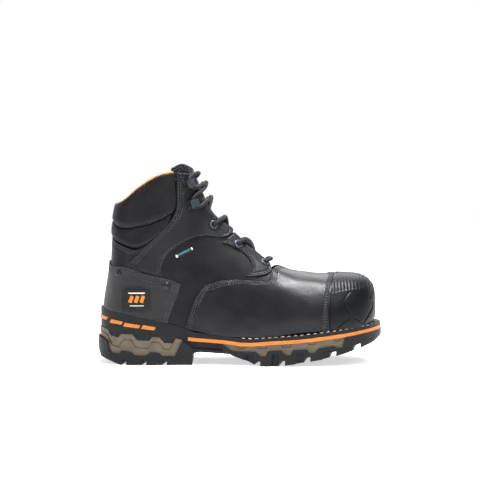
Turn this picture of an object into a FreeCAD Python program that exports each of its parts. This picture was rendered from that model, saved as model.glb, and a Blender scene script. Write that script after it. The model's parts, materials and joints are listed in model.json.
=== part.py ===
import FreeCAD, Part
import math
import os
from FreeCAD import Vector

# Right-foot six-inch safety boot. Millimetres, +X to the toe, +Y to the medial side, +Z up.
# The ground is z = 0 and the origin is under the middle of the boot.

# ---- driving dimensions -------------------------------------------------------------------
LEATHER = 1.6            # thickness of one leather layer
LAYER_GAP = 0.1          # air left between two layers
VAMP_LEATHER = 2.0
TOE_RUBBER = 1.9
STEEL_CAP = 1.6
COLLAR_CROWN = 2.7       # how far the collar pads stand above the shaft
TONGUE_DEPTH = 8.1       # from the shaft's outer surface down to the tongue
TONGUE_FOAM = 4.7
TONGUE_TRIM = 1.5          # the foam and the lining stop this far inside the shell's edge
LACE = 4.4               # diameter of the lace
EYELET_BORE = 5.5
EYELET_RIM = 9.6
SOLE_FLOOR_INSET = 11.0  # from the outsole's edge in to the insole board
FOOTBED_INSET = 13.2
TREAD_DEPTH = 5.0

# ---- the last: sections from the toe (first row) to above the collar (last row) ------------
# top x, top z, bottom x, bottom z, half width, centre y, share of the widest point, and the
# roundness power of the top and of the bottom half
SECTIONS = [
    (144.8, 59.0, 144.8, 59.0, 0.0, 5.0, 0.50, 2.3, 2.3),
    (143.6, 77.0, 143.6, 42.0, 15.5, 4.6, 0.50, 2.3, 2.4),
    (139.8, 86.0, 139.8, 30.0, 26.5, 4.0, 0.49, 2.4, 2.6),
    (133.5, 90.8, 133.5, 22.0, 34.5, 3.0, 0.48, 2.4, 2.8),
    (124.5, 93.0, 124.5, 17.0, 40.5, 1.8, 0.46, 2.4, 3.0),
    (112.0, 93.8, 112.0, 14.0, 44.8, 1.0, 0.45, 2.35, 3.1),
    (97.0, 94.1, 97.0, 12.5, 47.3, 0.2, 0.44, 2.3, 3.2),
    (79.0, 95.0, 79.0, 11.5, 48.6, -0.6, 0.42, 2.2, 3.2),
    (60.0, 97.6, 60.0, 10.5, 47.6, -1.4, 0.40, 2.15, 3.2),
    (43.0, 103.0, 38.0, 8.0, 44.6, -2.0, 0.36, 2.1, 3.2),
    (28.5, 112.0, 12.0, 6.0, 41.2, -2.4, 0.31, 2.05, 3.1),
    (15.0, 123.5, -18.0, 6.0, 38.5, -2.4, 0.29, 2.0, 3.0),
    (3.0, 135.5, -52.0, 8.0, 36.8, -2.0, 0.28, 2.0, 2.9),
    (-8.0, 147.0, -88.0, 11.0, 36.5, -1.3, 0.29, 2.0, 2.8),
    (-17.0, 157.0, -120.0, 17.0, 37.0, -0.7, 0.31, 2.0, 2.7),
    (-24.0, 166.5, -140.0, 33.0, 37.6, -0.3, 0.35, 2.0, 2.7),
    (-29.5, 175.5, -147.6, 53.0, 38.0, 0.0, 0.38, 2.05, 2.7),
    (-34.0, 184.5, -145.7, 76.0, 38.0, 0.0, 0.42, 2.1, 2.6),
    (-38.0, 194.5, -142.2, 99.0, 37.4, 0.0, 0.46, 2.1, 2.5),
    (-41.5, 205.5, -140.2, 122.0, 36.6, 0.0, 0.48, 2.15, 2.4),
    (-44.5, 217.0, -138.6, 147.0, 36.2, 0.0, 0.50, 2.2, 2.3),
    (-47.0, 229.0, -135.0, 172.0, 36.4, 0.0, 0.50, 2.2, 2.3),
    (-49.0, 241.0, -131.0, 197.0, 37.0, 0.0, 0.50, 2.2, 2.3),
]

# ---- the sole in side view (x, z), rear to front --------------------------------------------
SOLE_TOP = [(-151.0, 60.5), (-131.0, 56.0), (-111.6, 52.2), (-73.9, 43.9), (-61.4, 40.2), (-48.0, 35.0),
            (-17.6, 31.3), (7.5, 28.8), (24.2, 29.3), (66.0, 33.4), (107.8, 38.2), (151.5, 43.9)]
STRIPE_TOP = [(-55.8, 30.0), (-43.7, 28.7), (-17.6, 27.0), (-0.2, 24.9), (12.9, 24.8), (34.7, 27.0),
              (65.1, 29.2), (113.1, 34.9), (156.0, 40.8)]
STRIPE_HEIGHT = 3.8
SOLE_FLOOR = [(-160.0, 36.5), (-75.0, 34.0), (-20.0, 24.0), (20.0, 21.4), (60.0, 23.2), (100.0, 27.0),
              (150.0, 34.5)]
GROUND_LINE = [(-154.6, 19.6), (-154.2, 15.2), (-150.8, 7.4), (-137.7, 3.0), (-129.0, 0.0), (-51.5, 0.0),
               (-50.6, 12.6), (-43.7, 14.0), (-10.6, 12.1), (-8.8, 10.9), (9.4, 4.4), (16.0, 0.9),
               (21.0, 0.0), (38.0, 0.0), (54.6, 2.2), (87.4, 7.6), (120.1, 15.4), (143.0, 23.4),
               (156.0, 31.0)]
HEEL_FOXING_EDGE = [(-150.7, 38.8), (-143.3, 37.4), (-139.4, 30.9), (-131.1, 29.2), (-127.7, 33.1),
                    (-115.9, 32.7), (-110.2, 26.6), (-97.6, 26.1), (-94.1, 30.0), (-86.3, 29.6),
                    (-81.5, 23.5), (-71.9, 23.1), (-68.9, 28.3), (-61.9, 27.0)]
HEEL_RUBBER_EDGE = [(-152.5, 29.2), (-143.3, 24.8), (-142.5, 15.2), (-138.5, 11.8), (-131.1, 11.8),
                    (-127.2, 14.8), (-117.6, 13.9), (-113.3, 10.0), (-100.2, 10.0), (-95.9, 13.9),
                    (-87.2, 13.1), (-82.4, 9.1), (-70.2, 9.1)]
FOREFOOT_RUBBER_EDGE = [(-8.9, 14.8), (16.4, 14.8), (21.2, 10.0), (26.8, 10.0), (29.9, 15.7),
                        (44.3, 17.0), (49.0, 11.3), (53.8, 11.8), (56.4, 17.4), (71.4, 18.1),
                        (74.3, 13.7), (79.8, 14.4), (83.9, 18.8), (99.9, 21.4), (104.3, 19.2),
                        (110.2, 19.9)]
ARCH_REAR, ARCH_FRONT = -61.9, -18.4
CHASSIS_FRONT = 112.6
HEEL_GROOVE = [(-150.7, 34.4), (-142.9, 31.3), (-137.7, 20.5), (-130.7, 19.2), (-125.5, 27.0), (-116.3, 27.0),
               (-111.6, 18.7), (-98.5, 18.3), (-95.0, 24.8), (-87.2, 24.8), (-81.1, 17.0), (-75.4, 16.5),
               (-71.5, 23.9)]
FOREFOOT_MARKS = [(-3.6, 6.0), (17.3, 29.5), (43.4, 55.6), (71.4, 81.7), (99.0, 108.0)]
SIDE_POCKETS = [(4.0, 16.0), (32.0, 43.0), (58.5, 70.0), (86.5, 98.0), (114.5, 124.0)]
GROOVE_WIDTH, GROOVE_DEPTH = 1.1, 1.0
FRAME_INSET = 2.2        # how far the moulded frames stand behind the rubber's edge
POCKET_DEPTH = 3.6
HEEL_DASHES = [(-147.9, 49.4, 9.0), (-133.3, 45.6, 13.0), (-116.2, 42.2, 17.0), (-98.2, 39.9, 14.0)]
DASH_HEIGHT = 4.0

# ---- the outsole in plan (x, y), once round from the heel ------------------------------------
OUTLINE = [(-154.8, 1.5), (-148.0, -22.5), (-130.0, -36.5), (-105.0, -41.0), (-70.0, -39.5), (-35.0, -39.5),
           (0.0, -45.5), (35.0, -53.0), (65.0, -55.5), (95.0, -52.5), (120.0, -44.5), (140.0, -30.5),
           (152.0, -11.5), (154.9, 6.5), (150.0, 25.5), (138.0, 40.5), (118.0, 51.0), (90.0, 55.4),
           (60.0, 54.0), (30.0, 47.5), (0.0, 40.0), (-35.0, 35.5), (-70.0, 38.0), (-105.0, 42.5),
           (-130.0, 39.5), (-148.0, 25.5)]

# ---- lacing points in side view (x, z), bottom to top ----------------------------------------
EYELETS = [(26.7, 108.2), (-2.3, 128.3), (-29.0, 149.4)]
HOOKS = [(-51.4, 173.0), (-55.6, 194.6)]
HEEL_RIVETS = [(-129.3, 98.4), (-79.2, 85.0)]
THROAT_DIRECTION = (0.68, 0.73)      # from the eyelets to the throat's edge, in side view
HOOK_DIRECTION = (0.95, 0.31)
HOOK_SHEET = 1.0
HOOK_RISE = 7.0
TONGUE_FACE = -TONGUE_DEPTH
TONGUE_SHELL = (TONGUE_FACE - 1.2, TONGUE_FACE)
TONGUE_PAD = (TONGUE_SHELL[0] - 0.2 - TONGUE_FOAM, TONGUE_SHELL[0] - 0.2)
TONGUE_LINING = (TONGUE_PAD[0] - 1.5, TONGUE_PAD[0] - 0.5)
TONGUE_FOOT = 33.0                   # where the tongue is sewn down, on the top's centre line

# ---- the lace's route ------------------------------------------------------------------------
# Each corner is x, z in side view, the side (1 where this half starts, -1 across, 0 on the centre
# line) and the lift above the skin; "cross" is where the two halves pass over each other.
LACE_BAR = (33.0, None, 0, 4.8)
LACE_HALF = [
    (26.7, 108.2, 1, 4.9), (26.7, 108.2, 1, -4.3), (19.0, 116.2, 1, -4.8), (11.0, None, 0, "cross"),
    (2.8, 130.8, -1, 5.6), (-2.3, 128.3, -1, 4.9), (-2.3, 128.3, -1, -4.3), (-11.0, 142.0, -1, -4.8),
    (-17.5, None, 0, "cross"), (-22.5, 154.2, 1, 5.6), (-29.0, 149.4, 1, 4.9), (-29.0, 149.4, 1, -4.3),
    (-33.5, 163.0, 1, -4.0), (-32.5, None, 0, "cross"), (-40.0, 173.5, -1, 5.6),
    (-50.5, 166.4, -1, 5.3), (-54.6, 178.9, -1, 5.3),
    (-43.0, 186.5, -1, 5.6), (-38.6, None, 0, "cross"), (-46.0, 191.0, 1, 5.6),
    (-54.7, 188.0, 1, 5.3), (-58.8, 200.5, 1, 5.3),
    (-47.6, 206.5, 1, 4.0), (-43.6, 203.0, 1, -3.6), (-52.0, 199.5, 1, -4.3), (-63.6, 200.5, 1, -4.4),
    (-77.0, 190.0, 1, -7.9), (-78.5, 148.0, 1, -7.9), (-77.0, 106.0, 1, -7.9), (-87.0, 106.0, 1, -7.9),
    (-88.5, 145.0, 1, -7.9), (-87.0, 184.0, 1, -7.9), (-97.0, 184.0, 1, -7.9), (-98.5, 150.0, 1, -7.9),
    (-97.0, 122.0, 1, -7.9),
]
CROSSING_LIFTS = {1: 3.2, -1: -1.9}  # the half that starts lateral lies on top
AGLET_LENGTH = 18.0


# ---- splines and the skin of the last ---------------------------------------------------------
def spline(knots, values):
    """A natural cubic spline through values at knots, as a function."""
    count = len(knots)
    gaps = [knots[i + 1] - knots[i] for i in range(count - 1)]
    upper, right, bends = [0.0] * count, [0.0] * count, [0.0] * count
    for i in range(1, count - 1):
        slope_change = (values[i + 1] - values[i]) / gaps[i] - (values[i] - values[i - 1]) / gaps[i - 1]
        pivot = 2 * (gaps[i - 1] + gaps[i]) - gaps[i - 1] * upper[i - 1]
        upper[i] = gaps[i] / pivot
        right[i] = (6 * slope_change - gaps[i - 1] * right[i - 1]) / pivot
    for i in range(count - 2, 0, -1):
        bends[i] = right[i] - upper[i] * bends[i + 1]

    def value(t):
        i = 0
        while i < count - 2 and t > knots[i + 1]:
            i += 1
        b = (t - knots[i]) / gaps[i]
        a = 1 - b
        bend = (a ** 3 - a) * bends[i] + (b ** 3 - b) * bends[i + 1]
        return a * values[i] + b * values[i + 1] + bend * gaps[i] ** 2 / 6

    return value


def mirrored_row(row):
    """The section as it looks from the other side of the toe's tip."""
    return (row[2], row[3], row[0], row[1], -row[4], row[5], 1 - row[6], row[8], row[7])


TIP_ROWS = 2
LAST_ROW = len(SECTIONS) - 1
TRACKS = list(zip(*([mirrored_row(SECTIONS[i]) for i in range(TIP_ROWS, 0, -1)] + SECTIONS)))
ROW_NUMBERS = [float(i - TIP_ROWS) for i in range(len(TRACKS[0]))]
SECTION_SPLINES = [spline(ROW_NUMBERS, track) for track in TRACKS]


def section(row):
    return [track(row) for track in SECTION_SPLINES]


def skin(row, angle):
    """The last's point on a section, at an angle from its top; positive angles are lateral."""
    top_x, top_z, low_x, low_z, half_width, centre_y, share, top_power, low_power = section(max(row, 1e-3))
    length = math.hypot(top_x - low_x, top_z - low_z)
    up_x, up_z = (top_x - low_x) / length, (top_z - low_z) / length
    widest = share * length
    along, across = math.cos(angle), math.sin(angle)
    reach, power = (length - widest, top_power) if along >= 0 else (widest, low_power)
    radius = (abs(along / reach) ** power + abs(across / half_width) ** power) ** (-1 / power)
    height = widest + radius * along
    return Vector(low_x + up_x * height, centre_y - radius * across, low_z + up_z * height)


def chart_point(a, b):
    """The skin laid out flat: the distance from the chart's middle is the section's row."""
    return skin(math.hypot(a, b), math.atan2(b, a))


def skin_normal(a, b, step=0.02):
    along_a = chart_point(a + step, b) - chart_point(a - step, b)
    along_b = chart_point(a, b + step) - chart_point(a, b - step)
    return along_a.cross(along_b).normalize()


def lifted(a, b, lift):
    return chart_point(a, b) + skin_normal(a, b) * lift


def find_row(is_beyond, low=0.001):
    """The row where is_beyond(section) first turns true."""
    high = float(LAST_ROW)
    for _ in range(40):
        row = (low + high) / 2
        if is_beyond(*section(row)[:4]):
            high = row
        else:
            low = row
    return row


def place(x, z, side=1):
    """Chart position of the skin's point at (x, z) in side view; side 1 is lateral, -1 medial.

    With no z the point is on the centre line of the top, with no x on that of the heel's back.
    """
    if z is None:
        return find_row(lambda top_x, top_z, low_x, low_z: top_x < x), 0.0
    if x is None:
        return -find_row(lambda top_x, top_z, low_x, low_z: low_z > z, 13.0), 0.0
    row = find_row(lambda top_x, top_z, low_x, low_z:
                   (x - low_x) * (top_z - low_z) > (z - low_z) * (top_x - low_x))
    top_x, top_z, low_x, low_z, half_width, _, share, top_power, low_power = section(row)
    length = math.hypot(top_x - low_x, top_z - low_z)
    height = ((x - low_x) * (top_x - low_x) + (z - low_z) * (top_z - low_z)) / length - share * length
    reach, power = (length * (1 - share), top_power) if height >= 0 else (length * share, low_power)
    used = min(1.0, abs(height) / reach)
    breadth = half_width * (1 - used ** power) ** (1 / power)
    angle = side * math.atan2(breadth, height if used < 1.0 else math.copysign(reach, height))
    return row * math.cos(angle), row * math.sin(angle)


# ---- panels cut from the skin ------------------------------------------------------------------
def distances_along(points):
    knots = [0.0]
    for (x0, z0), (x1, z1) in zip(points, points[1:]):
        knots.append(knots[-1] + math.hypot(x1 - x0, z1 - z0))
    return knots


def chart_curve(points, samples=48):
    """A smooth curve through chart points, as a function of 0 to 1 that keeps an even pace on the skin."""
    knots = distances_along(points)
    curve_a = spline(knots, [p[0] for p in points])
    curve_b = spline(knots, [p[1] for p in points])
    stations = [knots[-1] * i / samples for i in range(samples + 1)]
    lengths = [0.0]
    for t0, t1 in zip(stations, stations[1:]):
        step = chart_point(curve_a(t1), curve_b(t1)) - chart_point(curve_a(t0), curve_b(t0))
        lengths.append(lengths[-1] + step.Length)
    pace = spline([length / lengths[-1] for length in lengths], stations)
    return lambda t: (curve_a(pace(t)), curve_b(pace(t)))


def side_line(points):
    """A smooth line through (x, z) points, as a function of 0 to 1."""
    knots = distances_along(points)
    line_x = spline(knots, [p[0] for p in points])
    line_z = spline(knots, [p[1] for p in points])
    return lambda t: (line_x(t * knots[-1]), line_z(t * knots[-1]))


def smooth_in_side_view(points, steps):
    line = side_line(points)
    return [line(i / steps) for i in range(steps + 1)]


def side_edge(points, side=1):
    """An edge that is smooth in side view; it may start on the centre line of the top."""
    if points[0][1] is None:
        seen = smooth_in_side_view(points[1:], 24)
        return chart_curve([place(*points[0])] + [place(x, z, side) for x, z in seen])
    return chart_curve([place(x, z, side) for x, z in smooth_in_side_view(points, 24)])


def wrap_edge(points):
    """An edge from the lateral side through its last point, on a centre line, to the medial side."""
    seen = smooth_in_side_view(points[:-1], 3 * len(points))
    lateral = [place(x, z) for x, z in seen]
    medial = [place(x, z, -1) for x, z in seen]
    return chart_curve(lateral + [place(*points[-1])] + medial[::-1])


def flat_patch(first, last, start, end, fade=1):
    """Blends four edges: first and last run across; start and end run from first to last.

    A higher fade lets the curve of start and end die away sooner inside the panel.
    """
    def point(s, t):
        blended = []
        for i in range(2):
            bow_at_start = start(t)[i] - (1 - t) * first(0)[i] - t * last(0)[i]
            bow_at_end = end(t)[i] - (1 - t) * first(1)[i] - t * last(1)[i]
            straight = (1 - t) * first(s)[i] + t * last(s)[i]
            blended.append(straight + (1 - s) ** fade * bow_at_start + s ** fade * bow_at_end)
        return blended
    return point


def grid_face(patch, lift, crown, across, along):
    rows = []
    for j in range(along + 1):
        t = j / along
        row = []
        for i in range(across + 1):
            s = i / across
            puff = crown * (1 - (2 * s - 1) ** 8) * (1 - (2 * t - 1) ** 4)
            a, b = patch(s, t)
            row.append(lifted(a, b, lift + puff))
        rows.append(row)
    surface = Part.BSplineSurface()
    surface.interpolate(rows)
    return surface


def border_edges(surface):
    first_u, last_u, first_v, last_v = surface.bounds()
    curves = [surface.uIso(first_u), surface.uIso(last_u), surface.vIso(first_v), surface.vIso(last_v)]
    return [curve.toShape() for curve in curves]


def panel(patch, inner, outer, crown=0.0, across=14, along=10):
    """A closed solid between two lifts above the skin."""
    outside = grid_face(patch, outer, crown, across, along)
    inside = grid_face(patch, inner, 0.0, across, along)
    faces = [outside.toShape(), inside.toShape()]
    for edge_out, edge_in in zip(border_edges(outside), border_edges(inside)):
        faces.append(Part.makeRuledSurface(edge_out, edge_in))
    shell = Part.makeShell(faces)
    shell.sewShape()
    solid = Part.Solid(shell)
    if solid.Volume < 0:
        solid.reverse()
    return solid


def rise(line, amount):
    return [(x, z + amount) for x, z in line]


def height_on(line, x):
    for (x0, z0), (x1, z1) in zip(line, line[1:]):
        if x <= x1:
            return z0 + (z1 - z0) * (x - x0) / (x1 - x0)
    return line[-1][1]


def seam(x, clear=0.4):
    """The point just above the sole's top at x, where the upper meets the sole."""
    return x, height_on(SOLE_TOP, x) + clear


# Lifts of each layer's inner and outer face above the skin
BASE = (-LEATHER, 0.0)
OVERLAY = (LAYER_GAP, LAYER_GAP + LEATHER)
VAMP = (LAYER_GAP, LAYER_GAP + VAMP_LEATHER)
TOP_RUBBER = (VAMP[1] + LAYER_GAP, VAMP[1] + LAYER_GAP + TOE_RUBBER)
TOE_BAND = (VAMP[1] + LAYER_GAP, VAMP[1] + LAYER_GAP + 1.1)
STIFFENER = (-2 * LEATHER - LAYER_GAP, -LEATHER - LAYER_GAP)
LINING = (STIFFENER[0] - 1.65, STIFFENER[0] - 0.25)

THROAT_LINE = [(-50.0, 204.5), (-47.0, 196.0), (-42.0, 180.0), (-33.0, 165.5), (-19.0, 151.5),
               (-8.2, 141.2), (14.0, 121.5), (32.6, 105.6)]
TOE_TIP = (143.98, 44.3)
HEEL_BACK = (None, 61.0)


def rise(line, amount):
    return [(x, z + amount) for x, z in line]


def height_on(line, x):
    for (x0, z0), (x1, z1) in zip(line, line[1:]):
        if x <= x1:
            return z0 + (z1 - z0) * (x - x0) / (x1 - x0)
    return line[-1][1]


def seam(x, clear=0.4):
    """The point just above the sole's top at x, where the upper meets the sole."""
    return x, height_on(SOLE_TOP, x) + clear


def foot_of_upper(start_x, end_x, count):
    return [seam(start_x + (end_x - start_x) * i / (count - 1)) for i in range(count)]


def toe_foot(start_x):
    """The upper's foot from the toe's tip back to start_x."""
    return [TOE_TIP, seam(143.6, 0.8), seam(139.5, 0.7)] + foot_of_upper(129.0, start_x, 7)


def heel_foot(start_x):
    """The upper's foot from start_x back to the middle of the heel."""
    return foot_of_upper(start_x, -135.0, 4) + [seam(-143.5), HEEL_BACK]


def front_patch(crown_line, corner, rear_edge, foot_start):
    """A panel over the toe: its rear edge from the centre line to a corner, then down to the foot."""
    top = side_edge(crown_line)
    foot = side_edge(toe_foot(foot_start))
    centre = chart_curve([place(*crown_line[0]), place(*TOE_TIP)])
    rear = side_edge([corner] + rear_edge + [seam(foot_start)])
    half = flat_patch(top, foot, centre, rear, fade=3)
    softness = 0.15
    full = math.hypot(1, softness) - softness

    def point(s, t):
        reach = abs(2 * s - 1)
        eased = (math.hypot(reach, softness) - softness) / full
        sign = 1 if s < 0.5 else -1
        return half(eased, t)[0], sign * half(reach, t)[1]

    return point


def side_patch(first, last, start, end, side):
    """A panel that stays on one side of the boot, blended between four lines of the side view."""
    blend = flat_patch(side_line(first), side_line(last), side_line(start), side_line(end))
    return lambda s, t: place(*blend(s, t), side)


def turned_patch(edges, lowest_angle):
    """Blends the four edges as rows and angles, which suits panels that go round the boot."""
    def turned(edge):
        def at(t):
            a, b = edge(t)
            return math.hypot(a, b), lowest_angle + (math.atan2(b, a) - lowest_angle) % (2 * math.pi)
        return at

    blend = flat_patch(*[turned(edge) for edge in edges], fade=3)

    def point(s, t):
        row, angle = blend(s, t)
        return row * math.cos(angle), row * math.sin(angle)

    return point


def wrap_patch(top_line, foot_line, side_points):
    """A panel round the heel: top and foot run to the back's centre line, the side edge joins them."""
    ends = [top_line[0]] + side_points + [foot_line[0]]
    sides = [side_edge(ends), side_edge(ends, -1)]
    return turned_patch([wrap_edge(top_line), wrap_edge(foot_line)] + sides, 0.0)


def instep_patch(side_points, top_points, foot):
    """A panel across the front between a side edge and its mirror image; foot is an x on the centre."""
    lateral, medial = side_edge(side_points), side_edge(side_points, -1)
    half_top = [lateral(0)] + [place(x, z) for x, z in top_points[:-1]]
    top = half_top + [place(*top_points[-1])] + [(a, -b) for a, b in half_top[::-1]]
    low = [lateral(1), place(foot, None), medial(1)]
    return turned_patch([chart_curve(top), chart_curve(low), lateral, medial], -math.pi)


# ---- the upper --------------------------------------------------------------------------------
def quarter(side):
    rear = [(-66.2, 206.2), (-66.2, 185.0), (-67.5, 164.0), (-80.0, 145.0), (-96.0, 124.0),
            (-103.0, 103.0), (-99.0, 75.0), seam(-95.0)]
    front = THROAT_LINE + [(36.0, 97.0), (29.0, 89.0), (0.0, 83.0), (-30.0, 77.0), (-44.0, 60.0), seam(-50.0)]
    patch = side_patch(rear, front, [rear[0], front[0]], foot_of_upper(-95.0, -50.0, 4), side)
    return panel(patch, *BASE, across=26, along=16)


def backstay():
    patch = wrap_patch([(-93.0, 137.3), (-100.5, 129.6), (-112.6, 124.2), (-126.2, 128.0), (None, 137.3)],
                       heel_foot(-96.0),
                       [(-98.4, 124.6), (-104.4, 103.0), (-100.4, 75.0)])
    return panel(patch, *BASE, across=26, along=12)


def vamp():
    patch = front_patch([(42.5, None), (39.5, 103.2), (40.6, 97.0), (33.0, 91.6), (8.0, 91.0), (-20.0, 90.4),
                         (-38.0, 85.0)],
                        (-38.0, 85.0), [(-47.0, 74.0), (-53.0, 60.0)], -59.0)
    return panel(patch, *VAMP, across=40, along=18)


def eyestay(side):
    rear = [(-68.2, 206.4), (-68.2, 184.0), (-69.5, 165.0), (-80.2, 148.3), (-101.1, 127.4), (-122.0, 106.8)]
    front = THROAT_LINE[:-2] + [(-12.5, 137.8), (-24.0, 137.2), (-36.4, 139.0), (-50.0, 136.8),
                                (-63.5, 130.2), (-76.0, 120.0), (-82.4, 110.0), (-84.0, 95.4)]
    lower = [rear[-1], (-112.0, 102.8), (-100.0, 99.4), front[-1]]
    return panel(side_patch(rear, front, [rear[0], front[0]], lower, side), *OVERLAY, across=28, along=12)


def facing(side):
    throat = [(-6.8, 140.0), (14.0, 121.5), (32.6, 105.6)]
    lower = [(-19.0, 130.6), (9.6, 112.8), (12.7, 102.3), (6.0, 95.0)]
    front = [throat[-1], (33.6, 99.8), (27.4, 96.2), lower[-1]]
    return panel(side_patch(throat, lower, [throat[0], lower[0]], front, side), *OVERLAY)


def heel_overlay():
    patch = wrap_patch([(-63.5, 86.7), (-80.2, 92.6), (-104.0, 98.8), (-126.2, 105.2), (-136.0, 104.4),
                        (None, 110.5)],
                       heel_foot(-78.0), [(-69.8, 68.9)])
    return panel(patch, *OVERLAY, across=30, along=12)


def collar_pad_upper():
    patch = wrap_patch([(-69.2, 206.8), (-85.0, 203.0), (-110.0, 188.5), (None, 173.0)],
                       [(-74.6, 163.2), (-90.7, 153.3), (-111.6, 148.1), (None, 156.0)],
                       [(-69.4, 185.0), (-69.8, 170.0)])
    return panel(patch, STIFFENER[0], 0.4, COLLAR_CROWN, across=26, along=10)


def collar_pad_lower():
    patch = wrap_patch([(-75.4, 162.2), (-90.7, 152.8), (-111.6, 147.6), (None, 155.4)],
                       [(-77.8, 152.8), (-99.1, 131.7), (-112.7, 126.6), (-126.2, 130.4), (None, 139.8)],
                       [(-76.6, 157.4)])
    return panel(patch, STIFFENER[0], 0.3, COLLAR_CROWN - 0.7, across=26, along=8)


def toe_bumper():
    patch = front_patch([(107.0, None), (103.5, 90.0), (99.5, 81.5), (95.8, 66.8)],
                        (95.8, 66.8), [(95.3, 52.0)], 95.0)
    return panel(patch, *TOP_RUBBER, across=34, along=16)


def toe_band():
    front = [(103.6, None), (100.2, 90.0), (96.2, 81.5), (93.6, 66.8), (93.4, 52.0), seam(93.4)]
    rear = [(97.0, None), (93.4, 87.5), (90.2, 77.0), (88.0, 63.0), (87.0, 50.0), seam(86.8)]
    end_lateral = chart_curve([place(*rear[-1]), place(*front[-1])])
    end_medial = chart_curve([place(*rear[-1], -1), place(*front[-1], -1)])
    patch = flat_patch(wrap_edge(rear[::-1]), wrap_edge(front[::-1]), end_lateral, end_medial)
    return panel(patch, *TOE_BAND, across=30, along=4)


def steel_toe_cap():
    patch = front_patch([(92.4, None), (91.8, 92.0), (91.2, 88.0), (90.5, 80.0), (90.0, 70.0), (90.0, 60.0)],
                        (90.0, 60.0), [(90.0, 48.0)], 90.0)
    return panel(patch, -STEEL_CAP - LAYER_GAP, -LAYER_GAP, across=34, along=16)


def toe_cap_gasket():
    front = [(87.0, None), (86.2, 92.0), (85.8, 88.0), (85.8, 80.0), (86.6, 70.0), (87.4, 60.0), seam(87.4)]
    rear = [(x - 4.5, z) for x, z in front[:-1]] + [seam(83.4)]
    end_lateral = chart_curve([place(*rear[-1]), place(*front[-1])])
    end_medial = chart_curve([place(*rear[-1], -1), place(*front[-1], -1)])
    patch = flat_patch(wrap_edge(rear[::-1]), wrap_edge(front[::-1]), end_lateral, end_medial)
    return panel(patch, -STEEL_CAP - LAYER_GAP, -LAYER_GAP, across=30, along=4)


def heel_counter():
    patch = wrap_patch([(-82.0, 74.0), (-104.0, 92.0), (-126.0, 99.0), (None, 103.0)],
                       heel_foot(-78.0), [])
    return panel(patch, *STIFFENER, across=26, along=10)


def lining_shaft():
    patch = wrap_patch([(-76.0, 206.8), (-86.5, 203.8), (-110.0, 190.2), (None, 174.8)],
                       heel_foot(-49.0),
                       [(-74.0, 180.0), (-64.0, 150.0), (-52.0, 122.0), (-47.5, 95.0), (-47.0, 60.0)])
    return panel(patch, *LINING, across=30, along=20)


def lining_vamp():
    patch = front_patch([(46.0, None), (41.0, 100.0), (28.0, 101.0), (0.0, 106.0), (-20.0, 108.0),
                         (-40.0, 98.0)],
                        (-40.0, 98.0), [(-45.5, 75.0), (-45.8, 58.0)], -47.5)
    return panel(patch, *LINING, across=40, along=18)


# ---- hardware on the upper --------------------------------------------------------------------
def stand_on_skin(x, z, side, lift, forward):
    """A frame on the skin: its z is the outward normal and its x the given direction in side view."""
    a, b = place(x, z, side)
    normal = skin_normal(a, b)
    ahead = Vector(forward[0], 0.0, forward[1])
    ahead = (ahead - normal * ahead.dot(normal)).normalize()
    left = normal.cross(ahead)
    origin = lifted(a, b, lift)
    return FreeCAD.Matrix(ahead.x, left.x, normal.x, origin.x,
                          ahead.y, left.y, normal.y, origin.y,
                          ahead.z, left.z, normal.z, origin.z,
                          0.0, 0.0, 0.0, 1.0)


def disc(radius, low, high):
    return Part.makeCylinder(radius, high - low, Vector(0, 0, low))


def block(x0, x1, y0, y1, z0, z1):
    return Part.makeBox(x1 - x0, y1 - y0, z1 - z0, Vector(x0, y0, z0))


def eyelet(x, z, side):
    """A turned rim on the leather and a barrel through it."""
    rim = disc(EYELET_RIM / 2, OVERLAY[1] + LAYER_GAP, OVERLAY[1] + 1.2)
    rim = rim.makeFillet(0.5, [rim.Edges[0]])
    barrel = disc(EYELET_BORE / 2 + 0.35, BASE[0] - 0.3, OVERLAY[1] + 0.6)
    ring = rim.fuse(barrel).cut(disc(EYELET_BORE / 2, -9, 9)).removeSplitter()
    return ring.transformGeometry(stand_on_skin(x, z, side, 0.0, THROAT_DIRECTION))


def eyelet_hole(x, z, side):
    drill = disc(EYELET_BORE / 2 + 0.8, -7, 7)
    return drill.transformGeometry(stand_on_skin(x, z, side, 0.0, THROAT_DIRECTION))


def lace_hook(x, z, side):
    """A folded hook: base plate, a narrow neck towards the throat and a lip over the lace."""
    bottom = OVERLAY[1] + LAYER_GAP
    base = block(-7.0, 4.0, -4.5, 4.5, bottom, bottom + HOOK_SHEET)
    neck = block(2.8, 4.0, -3.0, 3.0, bottom, bottom + HOOK_RISE)
    lip = block(-6.0, 4.0, -4.5, 4.5, bottom + HOOK_RISE - HOOK_SHEET, bottom + HOOK_RISE)
    hook = base.fuse([neck, lip]).removeSplitter()
    stem = disc(1.6, BASE[0] - 0.3, bottom + HOOK_SHEET + 0.15)
    stem.translate(Vector(-2.2, 0, 0))
    washer = disc(3.2, BASE[0] - 0.9, BASE[0] - 0.3)
    washer.translate(Vector(-2.2, 0, 0))
    hook = hook.fuse([stem, washer]).removeSplitter()
    return hook.transformGeometry(stand_on_skin(x, z, side, 0.0, HOOK_DIRECTION))


def hook_hole(x, z, side):
    hole = disc(1.8, -7, 7)
    hole.translate(Vector(-2.2, 0, 0))
    return hole.transformGeometry(stand_on_skin(x, z, side, 0.0, HOOK_DIRECTION))


def heel_rivet(x, z, side):
    """A domed cap on the heel overlay, with its stem through the leather."""
    cap = Part.makeSphere(6.0, Vector(0, 0, -4.2)).common(disc(6.0, 0.0, 4.0))
    stem = disc(1.5, -LEATHER - 1.4, 0.5)
    return cap.fuse(stem).removeSplitter().transformGeometry(
        stand_on_skin(x, z, side, OVERLAY[1] + LAYER_GAP, THROAT_DIRECTION))


def rivet_hole(x, z, side):
    return disc(1.7, -7, 7).transformGeometry(stand_on_skin(x, z, side, 0.0, THROAT_DIRECTION))


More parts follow.
